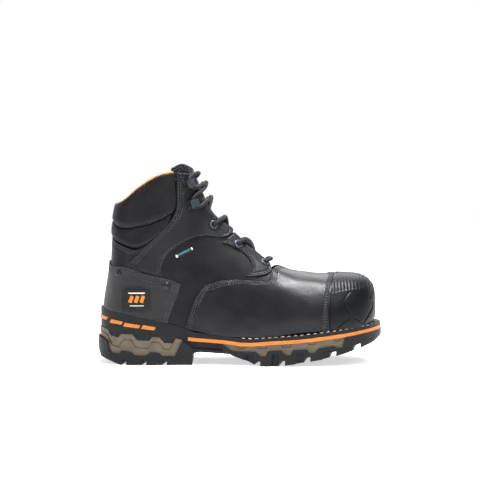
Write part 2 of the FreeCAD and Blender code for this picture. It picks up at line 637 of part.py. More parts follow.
def label_patch():
    """The stitched patch on the heel overlay."""
    rear_top, front_top, front_low, rear_low = (-124.1, 82.0), (-96.9, 82.0), (-96.9, 60.0), (-124.1, 60.0)
    patch = side_patch([rear_top, front_top], [rear_low, front_low], [rear_top, rear_low],
                       [front_top, front_low], 1)
    return panel(patch, OVERLAY[1] + LAYER_GAP, OVERLAY[1] + LAYER_GAP + 0.9, across=6, along=6)


def side_tag():
    """The woven tag on the quarter, level with the ankle."""
    rear_top, front_top, front_low, rear_low = (-69.5, 117.5), (-51.9, 126.9), (-50.1, 123.3), (-67.7, 113.9)
    patch = side_patch([rear_top, front_top], [rear_low, front_low], [rear_top, rear_low],
                       [front_top, front_low], 1)
    return panel(patch, BASE[1] + 0.05, BASE[1] + 0.75, across=6, along=3)


# ---- the tongue --------------------------------------------------------------------------------
def tongue_layer(inner, outer, trim=0.0):
    """One layer of the tongue, from its sewn foot up to above the collar."""
    side = [(-71.0 + trim, 212.0 - trim), (-68.0 + trim, 205.5 - trim), (-62.0 + trim, 192.0),
            (-57.5 + trim, 176.0), (-49.5 + trim, 162.0), (-31.0 + trim, 143.0), (2.0 + trim, 118.5),
            (30.0, 103.6)]
    patch = instep_patch(side, [(-62.0, 215.6 - trim), (-43.6, None)], TONGUE_FOOT)
    return panel(patch, inner, outer, across=12, along=14)


def tongue_webbing():
    """The ribbed band sewn down the front of the tongue."""
    patch = instep_patch([(-46.2, 204.0), (-40.8, 187.0), (-33.4, 173.0)], [(-41.0, None)], -29.0)
    return panel(patch, TONGUE_FACE + LAYER_GAP, TONGUE_FACE + 0.9, across=10, along=8)


# ---- the lace ----------------------------------------------------------------------------------
def lace_half(side):
    points = []
    for x, z, across, lift in LACE_HALF:
        height = CROSSING_LIFTS[side] if lift == "cross" else lift
        points.append(lifted(*place(x, z, across * side), height))
    return points


def lace_route():
    """The lace's corner points, from the lateral end over the lowest bar to the medial end."""
    x, z, _, lift = LACE_BAR
    return lace_half(1)[::-1] + [lifted(*place(x, z), lift)] + lace_half(-1)


def rounded_wire(points):
    """Straight runs joined by tangent arcs, each as large as the shorter run beside it allows."""
    edges = []
    start = points[0]
    for before, corner, after in zip(points, points[1:], points[2:]):
        into, out = corner - before, after - corner
        half_turn = into.getAngle(out) / 2
        back = 0.45 * min(into.Length, out.Length)
        first = corner - into.normalize() * back
        last = corner + out.normalize() * back
        chord_middle = (first + last) * 0.5
        radius = back / math.tan(half_turn)
        to_corner = (corner - chord_middle).normalize()
        middle = corner - to_corner * (radius / math.cos(half_turn) - radius)
        edges.append(Part.LineSegment(start, first).toShape())
        edges.append(Part.Arc(first, middle, last).toShape())
        start = last
    edges.append(Part.LineSegment(start, points[-1]).toShape())
    return Part.Wire(edges)


def swept(wire, radius):
    start = wire.Edges[0]
    direction = start.tangentAt(start.FirstParameter)
    circle = Part.Wire([Part.makeCircle(radius, start.valueAt(start.FirstParameter), direction)])
    return wire.makePipeShell([circle], True, False)


def lace():
    return swept(rounded_wire(lace_route()), LACE / 2)


def aglets():
    """A thin sleeve on each end of the lace."""
    route = lace_route()
    sleeves = []
    for end, inner in ((route[0], route[1]), (route[-1], route[-2])):
        along = (inner - end).normalize()
        tip = end - along * 0.5
        sleeve = Part.makeCylinder(LACE / 2 + 0.35, AGLET_LENGTH / 2, tip, along)
        sleeves.append(sleeve.cut(Part.makeCylinder(LACE / 2 + 0.05, AGLET_LENGTH, end, along)))
    return sleeves


# ---- the sole ----------------------------------------------------------------------------------
def outline_wire(inset):
    """The outsole's outline moved inwards, as a closed wire on the ground."""
    count = len(OUTLINE)
    points = []
    for i in range(count):
        x, y = OUTLINE[i]
        before, after = OUTLINE[i - 1], OUTLINE[(i + 1) % count]
        run_x, run_y = after[0] - before[0], after[1] - before[1]
        run = math.hypot(run_x, run_y)
        points.append(Vector(x - run_y / run * inset, y + run_x / run * inset, 0))
    curve = Part.BSplineCurve()
    curve.interpolate(points, PeriodicFlag=True)
    return Part.Wire([curve.toShape()])


def footprint(inset):
    """An upright block with the outsole's outline, moved inwards."""
    return Part.Face(outline_wire(inset)).extrude(Vector(0, 0, 90))


def profile(points):
    """A block right across the boot with the given side view."""
    corners = [Vector(x, -80, z) for x, z in points]
    return Part.Face(Part.makePolygon(corners + corners[:1])).extrude(Vector(0, 160, 0))


def slab(points, inset):
    return profile(points).common(footprint(inset))


def ring(points, outer_inset, inner_inset):
    return slab(points, outer_inset).cut(footprint(inner_inset))


def between(line_low, line_high):
    """The side view between two lines that both run from rear to front."""
    return line_low + line_high[::-1]


def part_of_line(line, start_x, end_x):
    inner = [(x, z) for x, z in line if start_x < x < end_x]
    return [(start_x, height_on(line, start_x))] + inner + [(end_x, height_on(line, end_x))]


STRIPE_LOW = rise(STRIPE_TOP, -STRIPE_HEIGHT)
ARCH_TOP = [(ARCH_REAR, 27.0), (-50.6, 18.0), (-43.7, 17.2), (ARCH_FRONT, 15.6)]
REAR_END, FRONT_END = -160.0, 160.0
STRIPE_REAR, WELT_REAR = -55.8, -61.0
RING_INNER = 7.0
CHASSIS_INNER = 14.0


def welt():
    low = part_of_line(STRIPE_TOP, STRIPE_REAR, FRONT_END)
    high = part_of_line(SOLE_TOP, WELT_REAR, FRONT_END)
    return ring(between(low, high), 1.0, RING_INNER)


def accent_strip():
    low = part_of_line(STRIPE_LOW, STRIPE_REAR, FRONT_END)
    high = part_of_line(STRIPE_TOP, STRIPE_REAR, FRONT_END)
    return ring(between(low, high), 0.5, RING_INNER)


def groove(points, width, floor_inset):
    """Cutters for a line engraved in the sole's side, down to an inset from the outline."""
    wall = footprint(floor_inset)
    strips = []
    for (x0, z0), (x1, z1) in zip(points, points[1:]):
        run = math.hypot(x1 - x0, z1 - z0)
        along_x, along_z = (x1 - x0) / run * width / 2, (z1 - z0) / run * width / 2
        strips.append(profile([(x0 - along_x - along_z, z0 - along_z + along_x),
                               (x1 + along_x - along_z, z1 + along_z + along_x),
                               (x1 + along_x + along_z, z1 + along_z - along_x),
                               (x0 - along_x + along_z, z0 - along_z - along_x)]).cut(wall))
    return strips


def hanging_grooves():
    """Trapezoid lines below the stripe, one over each lug of the forefoot."""
    cutters = []
    for start, end in FOREFOOT_MARKS:
        top = height_on(STRIPE_LOW, (start + end) / 2)
        shape = [(start, top + 1.0), (start + 2.0, top - 3.0), (end - 2.0, top - 3.0), (end, top + 1.0)]
        cutters.extend(groove(shape, GROOVE_WIDTH, FRAME_INSET + GROOVE_DEPTH))
    return cutters


def side_pockets():
    """Hollows in the forefoot's side wall between the lugs."""
    wall = footprint(POCKET_DEPTH)
    pockets = []
    for start, end in SIDE_POCKETS:
        roof = height_on(FOREFOOT_RUBBER_EDGE, (start + end) / 2) - 3.2
        shape = [(start, -9.0), (start + 2.0, roof), (end - 2.0, roof), (end, -9.0)]
        pockets.append(profile(shape).cut(wall))
    return pockets


def heel_chassis():
    low = [(REAR_END, 29.2)] + HEEL_RUBBER_EDGE
    high = [(REAR_END, 38.8)] + HEEL_FOXING_EDGE
    frame = ring(between(low, high), FRAME_INSET, CHASSIS_INNER)
    return cut_all(frame, groove(HEEL_GROOVE, GROOVE_WIDTH, FRAME_INSET + GROOVE_DEPTH))


def forefoot_chassis():
    """The lateral and the medial half of the frame under the ball of the foot."""
    low = [(ARCH_FRONT, 21.8)] + FOREFOOT_RUBBER_EDGE
    both = ring(between(low, part_of_line(STRIPE_LOW, ARCH_FRONT, CHASSIS_FRONT)), FRAME_INSET, CHASSIS_INNER)
    engraved = cut_all(both.cut(recess()), hanging_grooves())
    return sorted(engraved.Solids, key=lambda solid: solid.CenterOfMass.y)


def dash_outline(x, z, length):
    """A slanted bar that rises to the rear with the sole's top edge."""
    slope, lean = 0.14, 2.0
    half, tall = length / 2, DASH_HEIGHT / 2
    rear_low = (x - half - lean / 2, z + half * slope - tall)
    rear_high = (x - half + lean / 2, z + half * slope + tall)
    front_low = (x + half - lean / 2, z - half * slope - tall * 0.8)
    front_high = (x + half + lean / 2, z - half * slope + tall * 0.8)
    return [rear_low, front_low, front_high, rear_high]


def heel_accents():
    bars = []
    for x, z, length in HEEL_DASHES:
        bars.extend(ring(dash_outline(x, z, length), 2.4, 5.0).Solids)
    return bars


def recess():
    """The hollow in the sole that holds the filler, the insole board and the footbed."""
    above = profile(between(SOLE_FLOOR, [(REAR_END, 90.0), (SOLE_FLOOR[-1][0], 90.0)]))
    return above.common(footprint(SOLE_FLOOR_INSET - 0.3))


def midsole():
    """The cushioning core: full width at the heel, inside the frames and the welt elsewhere."""
    low = [(REAR_END, 38.8)] + HEEL_FOXING_EDGE + ARCH_TOP[1:]
    high = ([(REAR_END, 60.5)] + part_of_line(SOLE_TOP, -150.9, WELT_REAR) + STRIPE_TOP[:1]
            + part_of_line(STRIPE_LOW, STRIPE_REAR, ARCH_FRONT))
    heel = slab(between(low, high), 3.0)
    heel_core = slab(between([(REAR_END, 29.2)] + HEEL_RUBBER_EDGE, [(REAR_END, 38.8)] + HEEL_FOXING_EDGE),
                     CHASSIS_INNER)
    front_low = [(ARCH_FRONT, 21.8)] + FOREFOOT_RUBBER_EDGE
    front_core = slab(between(front_low, part_of_line(STRIPE_LOW, ARCH_FRONT, CHASSIS_FRONT)), CHASSIS_INNER)
    low_line = part_of_line(STRIPE_LOW, STRIPE_REAR, FRONT_END)
    high_line = part_of_line(SOLE_TOP, WELT_REAR, FRONT_END)
    wall = slab(between(low_line, high_line), RING_INNER)
    return heel.fuse([heel_core, front_core, wall]).cut(Part.makeCompound(heel_accents()))


def tread_cutter():
    """Channels between the lugs, up to an even depth above the ground line."""
    deep = profile(between(rise(GROUND_LINE, -9.0), rise(GROUND_LINE, TREAD_DEPTH)))
    channels = []
    for x in (-132.0, -110.0, -88.0):
        channels.append(slanted_channel(x, 5.0, 9.0))
    for x in (10.0, 37.0, 64.0, 91.0, 116.0):
        channels.append(slanted_channel(x, 7.0, 12.0))
    channels.append(block(-126.0, -62.0, -4.0, 4.0, -9, 60))
    channels.append(block(-4.0, 132.0, -3.0, 5.0, -9, 60))
    return channels[0].fuse(channels[1:]).common(deep)


def slanted_channel(x, width, sweep):
    """A V-shaped channel right across the sole, its point towards the toe."""
    points = [(x, -80), (x + sweep, 0), (x, 80), (x + width, 80), (x + width + sweep, 0), (x + width, -80)]
    corners = [Vector(px, py, -9) for px, py in points]
    return Part.Face(Part.makePolygon(corners + corners[:1])).extrude(Vector(0, 0, 70))


def outsole():
    high = ([(REAR_END, 29.2)] + HEEL_RUBBER_EDGE + ARCH_TOP + [(ARCH_FRONT, 21.8)] + FOREFOOT_RUBBER_EDGE
            + part_of_line(STRIPE_LOW, CHASSIS_FRONT, FRONT_END))
    low = [(REAR_END, 19.6)] + GROUND_LINE + [(FRONT_END, 32.0)]
    return cut_all(slab(between(low, high), 0.0).cut(tread_cutter()), side_pockets())


def floor_layer(low, high, inset):
    return slab(between(rise(SOLE_FLOOR, low), rise(SOLE_FLOOR, high)), inset)


def shank():
    low, high = part_of_line(SOLE_FLOOR, -92.0, 12.0), part_of_line(SOLE_FLOOR, -92.0, 12.0)
    return profile(between(rise(low, 0.25), rise(high, 1.75))).common(block(-95, 15, -9.0, 7.0, 0, 60))


def bottom_filler():
    slot = block(-93.0, 13.0, -9.2, 7.2, 0, 60)
    return floor_layer(0.0, 2.0, SOLE_FLOOR_INSET).cut(slot)


def footbed():
    """The loose cushioned insole, a little short of the lining at the toe."""
    toe_limit = footprint(FOOTBED_INSET)
    toe_limit.translate(Vector(-4.5, 0, 0))
    return floor_layer(4.3, 9.0, FOOTBED_INSET).common(toe_limit)


# ---- writing the pieces ------------------------------------------------------------------------
def write(name, *solids):
    shape = solids[0] if len(solids) == 1 else Part.makeCompound(list(solids))
    shape.exportStep("parts/" + name + ".step")


def cut_all(shape, tools):
    for tool in tools:
        shape = shape.cut(tool)
    return shape


def main():
    os.makedirs("parts", exist_ok=True)
    for side, side_name in ((1, "lateral"), (-1, "medial")):
        holes = ([eyelet_hole(x, z, side) for x, z in EYELETS] + [hook_hole(x, z, side) for x, z in HOOKS])
        write("quarter_" + side_name, cut_all(quarter(side), holes + [rivet_hole(*HEEL_RIVETS[1], side)]))
        write("eyestay_" + side_name, cut_all(eyestay(side), holes[1:]))
        write("facing_" + side_name, cut_all(facing(side), holes[:2]))
        write("eyelets_" + side_name, *[eyelet(x, z, side) for x, z in EYELETS])
        write("lace_hooks_" + side_name, *[lace_hook(x, z, side) for x, z in HOOKS])
    rivet_holes = [rivet_hole(x, z, side) for side in (1, -1) for x, z in HEEL_RIVETS]
    write("heel_overlay", cut_all(heel_overlay(), rivet_holes))
    write("heel_rivets", *[heel_rivet(x, z, side) for side in (1, -1) for x, z in HEEL_RIVETS])
    write("backstay", cut_all(backstay(), rivet_holes))
    write("vamp", vamp())
    write("collar_pad_upper", collar_pad_upper())
    write("collar_pad_lower", collar_pad_lower())
    write("toe_bumper", toe_bumper())
    write("toe_band", toe_band())
    write("steel_toe_cap", steel_toe_cap())
    write("toe_cap_gasket", toe_cap_gasket())
    write("heel_counter", heel_counter())
    write("lining_shaft", lining_shaft())
    write("lining_vamp", lining_vamp())
    write("label_patch", label_patch())
    write("side_tag", side_tag())
    write("tongue_shell", tongue_layer(*TONGUE_SHELL))
    write("tongue_pad", tongue_layer(*TONGUE_PAD, trim=TONGUE_TRIM))
    write("tongue_lining", tongue_layer(*TONGUE_LINING, trim=TONGUE_TRIM))
    write("tongue_webbing", tongue_webbing())
    write("lace", lace())
    write("lace_aglets", *aglets())
    write("outsole", outsole().cut(recess()).removeSplitter())
    write("heel_chassis", heel_chassis().cut(recess()).removeSplitter())
    lateral_frame, medial_frame = forefoot_chassis()
    write("forefoot_chassis_lateral", lateral_frame)
    write("forefoot_chassis_medial", medial_frame)
    write("accent_strip", accent_strip())
    write("heel_accents", *heel_accents())
    write("welt", welt())
    write("midsole", midsole().cut(recess()).removeSplitter())
    write("shank", shank())
    write("bottom_filler", bottom_filler())
    write("insole_board", floor_layer(2.1, 4.1, SOLE_FLOOR_INSET))
    write("footbed", footbed())


main()
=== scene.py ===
import json
import math
import bmesh
import bpy
import numpy as np
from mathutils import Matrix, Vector, noise
from mathutils.bvhtree import BVHTree


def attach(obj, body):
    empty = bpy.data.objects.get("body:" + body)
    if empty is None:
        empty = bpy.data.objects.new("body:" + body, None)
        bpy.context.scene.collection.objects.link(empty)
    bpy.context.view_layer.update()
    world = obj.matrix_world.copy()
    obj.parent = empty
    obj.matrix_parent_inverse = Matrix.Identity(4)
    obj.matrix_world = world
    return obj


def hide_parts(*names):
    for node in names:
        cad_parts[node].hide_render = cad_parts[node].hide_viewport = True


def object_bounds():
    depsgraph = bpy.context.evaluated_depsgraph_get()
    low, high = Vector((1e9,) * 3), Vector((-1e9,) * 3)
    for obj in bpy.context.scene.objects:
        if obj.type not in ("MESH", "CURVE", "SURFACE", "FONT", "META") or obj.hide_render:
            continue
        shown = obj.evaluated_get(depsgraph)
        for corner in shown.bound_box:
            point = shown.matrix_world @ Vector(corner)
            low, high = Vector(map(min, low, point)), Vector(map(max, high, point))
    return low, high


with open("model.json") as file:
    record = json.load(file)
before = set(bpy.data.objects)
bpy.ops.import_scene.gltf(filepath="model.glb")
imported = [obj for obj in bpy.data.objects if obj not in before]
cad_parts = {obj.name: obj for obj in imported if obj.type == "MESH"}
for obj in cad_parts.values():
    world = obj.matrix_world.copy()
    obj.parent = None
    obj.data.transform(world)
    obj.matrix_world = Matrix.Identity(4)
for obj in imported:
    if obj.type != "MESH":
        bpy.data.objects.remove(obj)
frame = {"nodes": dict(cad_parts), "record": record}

CAD_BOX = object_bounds()

# The upper is rebuilt here, finer, on the same skin as the CAD model. Shapes are worked out in
# millimetres and turned into metres when a mesh is made.
MM = 0.001
GRAIN = 1.9              # usual distance between mesh lines on a panel
FINE_GRAIN = 0.75        # on the ribbed bumper
PLATE_GRAIN = 0.8        # on small plates
PRINT_GRAIN = 0.5        # on printed marks

# ---- the last, as in the CAD source -----------------------------------------------------------
# top x, top z, bottom x, bottom z, half width, centre y, share of the widest point, and the
# roundness power of the top and of the bottom half
SECTIONS = [
    (144.8, 59.0, 144.8, 59.0, 0.0, 5.0, 0.50, 2.3, 2.3),
    (143.6, 77.0, 143.6, 42.0, 15.5, 4.6, 0.50, 2.3, 2.4),
    (139.8, 86.0, 139.8, 30.0, 26.5, 4.0, 0.49, 2.4, 2.6),
    (133.5, 90.8, 133.5, 22.0, 34.5, 3.0, 0.48, 2.4, 2.8),
    (124.5, 93.0, 124.5, 17.0, 40.5, 1.8, 0.46, 2.4, 3.0),
    (112.0, 93.8, 112.0, 14.0, 44.8, 1.0, 0.45, 2.35, 3.1),
    (97.0, 94.1, 97.0, 12.5, 47.3, 0.2, 0.44, 2.3, 3.2),
    (79.0, 95.0, 79.0, 11.5, 48.6, -0.6, 0.42, 2.2, 3.2),
    (60.0, 97.6, 60.0, 10.5, 47.6, -1.4, 0.40, 2.15, 3.2),
    (43.0, 103.0, 38.0, 8.0, 44.6, -2.0, 0.36, 2.1, 3.2),
    (28.5, 112.0, 12.0, 6.0, 41.2, -2.4, 0.31, 2.05, 3.1),
    (15.0, 123.5, -18.0, 6.0, 38.5, -2.4, 0.29, 2.0, 3.0),
    (3.0, 135.5, -52.0, 8.0, 36.8, -2.0, 0.28, 2.0, 2.9),
    (-8.0, 147.0, -88.0, 11.0, 36.5, -1.3, 0.29, 2.0, 2.8),
    (-17.0, 157.0, -120.0, 17.0, 37.0, -0.7, 0.31, 2.0, 2.7),
    (-24.0, 166.5, -140.0, 33.0, 37.6, -0.3, 0.35, 2.0, 2.7),
    (-29.5, 175.5, -147.6, 53.0, 38.0, 0.0, 0.38, 2.05, 2.7),
    (-34.0, 184.5, -145.7, 76.0, 38.0, 0.0, 0.42, 2.1, 2.6),
    (-38.0, 194.5, -142.2, 99.0, 37.4, 0.0, 0.46, 2.1, 2.5),
    (-41.5, 205.5, -140.2, 122.0, 36.6, 0.0, 0.48, 2.15, 2.4),
    (-44.5, 217.0, -138.6, 147.0, 36.2, 0.0, 0.50, 2.2, 2.3),
    (-47.0, 229.0, -135.0, 172.0, 36.4, 0.0, 0.50, 2.2, 2.3),
    (-49.0, 241.0, -131.0, 197.0, 37.0, 0.0, 0.50, 2.2, 2.3),
]
TIP_ROWS = 2
BASE = (-1.6, 0.0)
OVERLAY = (0.1, 1.7)
VAMP = (0.1, 2.1)
TOP_RUBBER = (2.2, 4.1)
TOE_BAND = (2.2, 3.3)
STIFFENER = (-3.3, -1.7)
LINING = (-4.95, -3.55)
TONGUE_FACE = -8.1
TONGUE_FOAM = 4.7
TONGUE_TRIM = 1.5        # foam and lining stop this far inside the shell's edge
COLLAR_CROWN = 2.7
PAD_RISE = 0.9           # the share of the crown that the filling's pressure adds
LACE = 4.4
EYELET_HOLE = 3.25       # radius of the holes in the leather
CHANNEL_DEPTH = 0.5      # how far a row of stitches pulls the leather in
CHANNEL_WIDTH = 0.5
SEWN_TWICE = [2.0, 4.4]
SEWN_THRICE = [2.0, 4.4, 6.8]
SOLE_TOP = [(-151.0, 60.5), (-131.0, 56.0), (-111.6, 52.2), (-73.9, 43.9), (-61.4, 40.2), (-48.0, 35.0),
            (-17.6, 31.3), (7.5, 28.8), (24.2, 29.3), (66.0, 33.4), (107.8, 38.2), (151.5, 43.9)]
THROAT_LINE = [(-50.0, 204.5), (-47.0, 196.0), (-42.0, 180.0), (-33.0, 165.5), (-19.0, 151.5),
               (-8.2, 141.2), (14.0, 121.5), (32.6, 105.6)]
TOE_TIP = (143.98, 44.3)
HEEL_BACK = (None, 61.0)
EYELETS = [(26.7, 108.2), (-2.3, 128.3), (-29.0, 149.4)]


# ---- splines and the skin ----------------------------------------------------------------------
def spline(knots, values):
    """A natural cubic spline through rows of values, as a function of an array."""
    knots, values = np.asarray(knots, float), np.asarray(values, float)
    gaps = np.diff(knots)
    system = np.eye(len(knots))
    right = np.zeros_like(values)
    for i in range(1, len(knots) - 1):
        system[i, i - 1:i + 2] = gaps[i - 1], 2 * (gaps[i - 1] + gaps[i]), gaps[i]
        slopes = (values[i + 1] - values[i]) / gaps[i] - (values[i] - values[i - 1]) / gaps[i - 1]
        right[i] = 6 * slopes
    bends = np.linalg.solve(system, right)

    def value(t):
        t = np.asarray(t, float)
        i = np.clip(np.searchsorted(knots, t, side="right") - 1, 0, len(knots) - 2)
        b = ((t - knots[i]) / gaps[i])[..., None]
        a = 1 - b
        bend = (a ** 3 - a) * bends[i] + (b ** 3 - b) * bends[i + 1]
        return a * values[i] + b * values[i + 1] + bend * (gaps[i] ** 2)[..., None] / 6

    return value


def mirrored_row(row):
    return (row[2], row[3], row[0], row[1], -row[4], row[5], 1 - row[6], row[8], row[7])


ROWS = [mirrored_row(SECTIONS[i]) for i in range(TIP_ROWS, 0, -1)] + SECTIONS
section = spline([i - TIP_ROWS for i in range(len(ROWS))], ROWS)


def skin(row, angle):
    """Points of the last's skin; positive angles are lateral."""
    part = section(np.maximum(row, 1e-3))
    top, low = part[..., 0:2], part[..., 2:4]
    half_width, centre_y, share, top_power, low_power = np.moveaxis(part[..., 4:9], -1, 0)
    length = np.linalg.norm(top - low, axis=-1)
    up = (top - low) / length[..., None]
    widest = share * length
    along, across = np.cos(angle), np.sin(angle)
    reach = np.where(along >= 0, length - widest, widest)
    power = np.where(along >= 0, top_power, low_power)
    radius = (np.abs(along / reach) ** power + np.abs(across / half_width) ** power) ** (-1 / power)
    height = widest + radius * along
    side_view = low + up * height[..., None]
    return np.stack([side_view[..., 0], centre_y - radius * across, side_view[..., 1]], -1)


def chart_point(chart):
    """The skin laid out flat: the distance from the chart's middle is the section's row."""
    a, b = chart[..., 0], chart[..., 1]
    return skin(np.hypot(a, b), np.arctan2(b, a))


def skin_normal(chart):
    step = 0.02
    nudge_a, nudge_b = np.array([step, 0.0]), np.array([0.0, step])
    along_a = chart_point(chart + nudge_a) - chart_point(chart - nudge_a)
    along_b = chart_point(chart + nudge_b) - chart_point(chart - nudge_b)
    normal = np.cross(along_a, along_b)
    return normal / np.linalg.norm(normal, axis=-1, keepdims=True)


def lifted(chart, lift):
    return chart_point(chart) + skin_normal(chart) * np.asarray(lift)[..., None]


def find_row(is_beyond, shape, low=0.001):
    """The rows where is_beyond(section) first turns true."""
    low, high = np.full(shape, low), np.full(shape, float(len(SECTIONS) - 1))
    for _ in range(40):
        row = (low + high) / 2
        beyond = is_beyond(np.moveaxis(section(row)[..., 0:4], -1, 0))
        high, low = np.where(beyond, row, high), np.where(beyond, low, row)
    return (low + high) / 2


def place(points, side=1):
    """Chart positions of side-view points; a point without z is on the top's centre line, one
    without x on that of the heel's back."""
    chart = np.zeros((len(points), 2))
    for i, (x, z) in enumerate(points):
        if z is None:
            chart[i, 0] = find_row(lambda s: s[0] < x, ())
        if x is None:
            chart[i, 0] = -find_row(lambda s: s[3] > z, (), 13.0)
    seen = [i for i, (x, z) in enumerate(points) if x is not None and z is not None]
    if seen:
        x, z = np.array([points[i] for i in seen], float).T
        chart[seen] = place_seen(x, z, side)
    return chart


def place_seen(x, z, side):
    row = find_row(lambda s: (x - s[2]) * (s[1] - s[3]) > (z - s[3]) * (s[0] - s[2]), x.shape)
    top_x, top_z, low_x, low_z, half_width, _, share, top_power, low_power = np.moveaxis(section(row), -1, 0)
    length = np.hypot(top_x - low_x, top_z - low_z)
    height = ((x - low_x) * (top_x - low_x) + (z - low_z) * (top_z - low_z)) / length - share * length
    reach = np.where(height >= 0, length * (1 - share), length * share)
    power = np.where(height >= 0, top_power, low_power)
    used = np.minimum(1.0, np.abs(height) / reach)
    breadth = half_width * (1 - used ** power) ** (1 / power)
    kept = np.where(used < 1.0, height, np.copysign(reach, height))
    angle = side * np.arctan2(breadth, kept)
    return np.stack([row * np.cos(angle), row * np.sin(angle)], -1)


# ---- panels, as in the CAD source ----------------------------------------------------------------
def distances_along(points):
    return np.concatenate([[0.0], np.cumsum(np.linalg.norm(np.diff(points, axis=0), axis=1))])


def chart_curve(points):
    samples = 48
    points = np.asarray(points, float)
    knots = distances_along(points)
    curve = spline(knots, points)
    stations = np.linspace(0, knots[-1], samples + 1)
    lengths = distances_along(chart_point(curve(stations)))
    pace = spline(lengths / lengths[-1], stations[:, None])
    return lambda t: curve(pace(t)[..., 0])


def side_line(points):
    points = np.asarray(points, float)
    knots = distances_along(points)
    line = spline(knots, points)
    return lambda t: line(np.asarray(t) * knots[-1])


def smooth_in_side_view(points, steps):
    return side_line(points)(np.linspace(0, 1, steps + 1)).tolist()


def side_edge(points, side=1):
    if points[0][1] is None:
        return chart_curve(place([points[0]] + smooth_in_side_view(points[1:], 24), side))
    return chart_curve(place(smooth_in_side_view(points, 24), side))


def wrap_edge(points):
    seen = smooth_in_side_view(points[:-1], 3 * len(points))
    lateral, medial = place(seen), place(seen, -1)
    return chart_curve(np.concatenate([lateral, place([points[-1]]), medial[::-1]]))


def flat_patch(first, last, start, end, fade=1):
    def point(s, t):
        s, t = s[..., None], t[..., None]
        corners = [edge(np.array(u)) for edge in (first, last) for u in (0.0, 1.0)]
        bow_at_start = start(t[..., 0]) - (1 - t) * corners[0] - t * corners[2]
        bow_at_end = end(t[..., 0]) - (1 - t) * corners[1] - t * corners[3]
        straight = (1 - t) * first(s[..., 0]) + t * last(s[..., 0])
        return straight + (1 - s) ** fade * bow_at_start + s ** fade * bow_at_end
    return point


def seam(x, clear=0.4):
    """The point just above the sole's top at x, where the upper meets the sole."""
    return x, float(np.interp(x, *zip(*SOLE_TOP))) + clear


def foot_of_upper(start_x, end_x, count):
    return [seam(start_x + (end_x - start_x) * i / (count - 1)) for i in range(count)]


def toe_foot(start_x):
    return [TOE_TIP, seam(143.6, 0.8), seam(139.5, 0.7)] + foot_of_upper(129.0, start_x, 7)


def heel_foot(start_x):
    return foot_of_upper(start_x, -135.0, 4) + [seam(-143.5), HEEL_BACK]


def front_patch(crown_line, corner, rear_edge, foot_start):
    """A panel over the toe: its rear edge from the centre line to a corner, then down to the foot."""
    top = side_edge(crown_line)
    foot = side_edge(toe_foot(foot_start))
    centre = chart_curve(place([crown_line[0], TOE_TIP]))
    rear = side_edge([corner] + rear_edge + [seam(foot_start)])
    half = flat_patch(top, foot, centre, rear, fade=3)
    softness = 0.15
    full = math.hypot(1, softness) - softness

    def point(s, t):
        reach = np.abs(2 * s - 1)
        eased = (np.hypot(reach, softness) - softness) / full
        sign = np.where(s < 0.5, 1.0, -1.0)
        return np.stack([half(eased, t)[..., 0], sign * half(reach, t)[..., 1]], -1)

    return point


def side_patch(first, last, start, end, side):
    blend = flat_patch(side_line(first), side_line(last), side_line(start), side_line(end))

    def point(s, t):
        seen = blend(s, t)
        chart = place_seen(seen[..., 0].ravel(), seen[..., 1].ravel(), side)
        return chart.reshape(seen.shape)

    return point


def turned_patch(edges, lowest_angle):
    """Blends the four edges as rows and angles, which suits panels that go round the boot."""
    def turned(edge):
        def at(t):
            a, b = np.moveaxis(edge(t), -1, 0)
            angle = lowest_angle + (np.arctan2(b, a) - lowest_angle) % (2 * math.pi)
            return np.stack([np.hypot(a, b), angle], -1)
        return at

    blend = flat_patch(*[turned(edge) for edge in edges], fade=3)

    def point(s, t):
        row, angle = np.moveaxis(blend(s, t), -1, 0)
        return np.stack([row * np.cos(angle), row * np.sin(angle)], -1)

    return point


def wrap_patch(top_line, foot_line, side_points):
    ends = [top_line[0]] + side_points + [foot_line[0]]
    sides = [side_edge(ends), side_edge(ends, -1)]
    return turned_patch([wrap_edge(top_line), wrap_edge(foot_line)] + sides, 0.0)


def instep_patch(side_points, top_points, foot):
    lateral, medial = side_edge(side_points), side_edge(side_points, -1)
    half_top = np.concatenate([[lateral(np.array(0.0))], place(top_points[:-1])])
    top = np.concatenate([half_top, place([top_points[-1]]), half_top[::-1] * [1, -1]])
    low = [lateral(np.array(1.0)), place([(foot, None)])[0], medial(np.array(1.0))]
    return turned_patch([chart_curve(top), chart_curve(low), lateral, medial], -math.pi)


def band_patch(front, rear):
    """A strip over the toe between two lines that start on the top's centre line."""
    ends = [chart_curve(place([rear[-1], front[-1]], side)) for side in (1, -1)]
    return flat_patch(wrap_edge(rear[::-1]), wrap_edge(front[::-1]), *ends)


# ---- finer meshes of the panels --------------------------------------------------------------------
class Grid:
    """A panel's mesh lines: points and normals of its outer face, and distances to its edges."""

    def __init__(self, patch, levels_s, levels_t):
        self.s, self.t = np.meshgrid(levels_s, levels_t)
        self.chart = patch(self.s, self.t)
        self.base = chart_point(self.chart)
        self.normal = skin_normal(self.chart)
        along_s = np.linalg.norm(np.diff(self.base, axis=1), axis=2)
        along_t = np.linalg.norm(np.diff(self.base, axis=0), axis=2)
        zero_s, zero_t = np.zeros((len(levels_t), 1)), np.zeros((1, len(levels_s)))
        self.start = np.concatenate([zero_s, np.cumsum(along_s, axis=1)], axis=1)
        self.first = np.concatenate([zero_t, np.cumsum(along_t, axis=0)], axis=0)
        self.end = self.start[:, -1:] - self.start
        self.last = self.first[-1:] - self.first

    def border(self):
        return np.minimum(np.minimum(self.start, self.end), np.minimum(self.first, self.last))


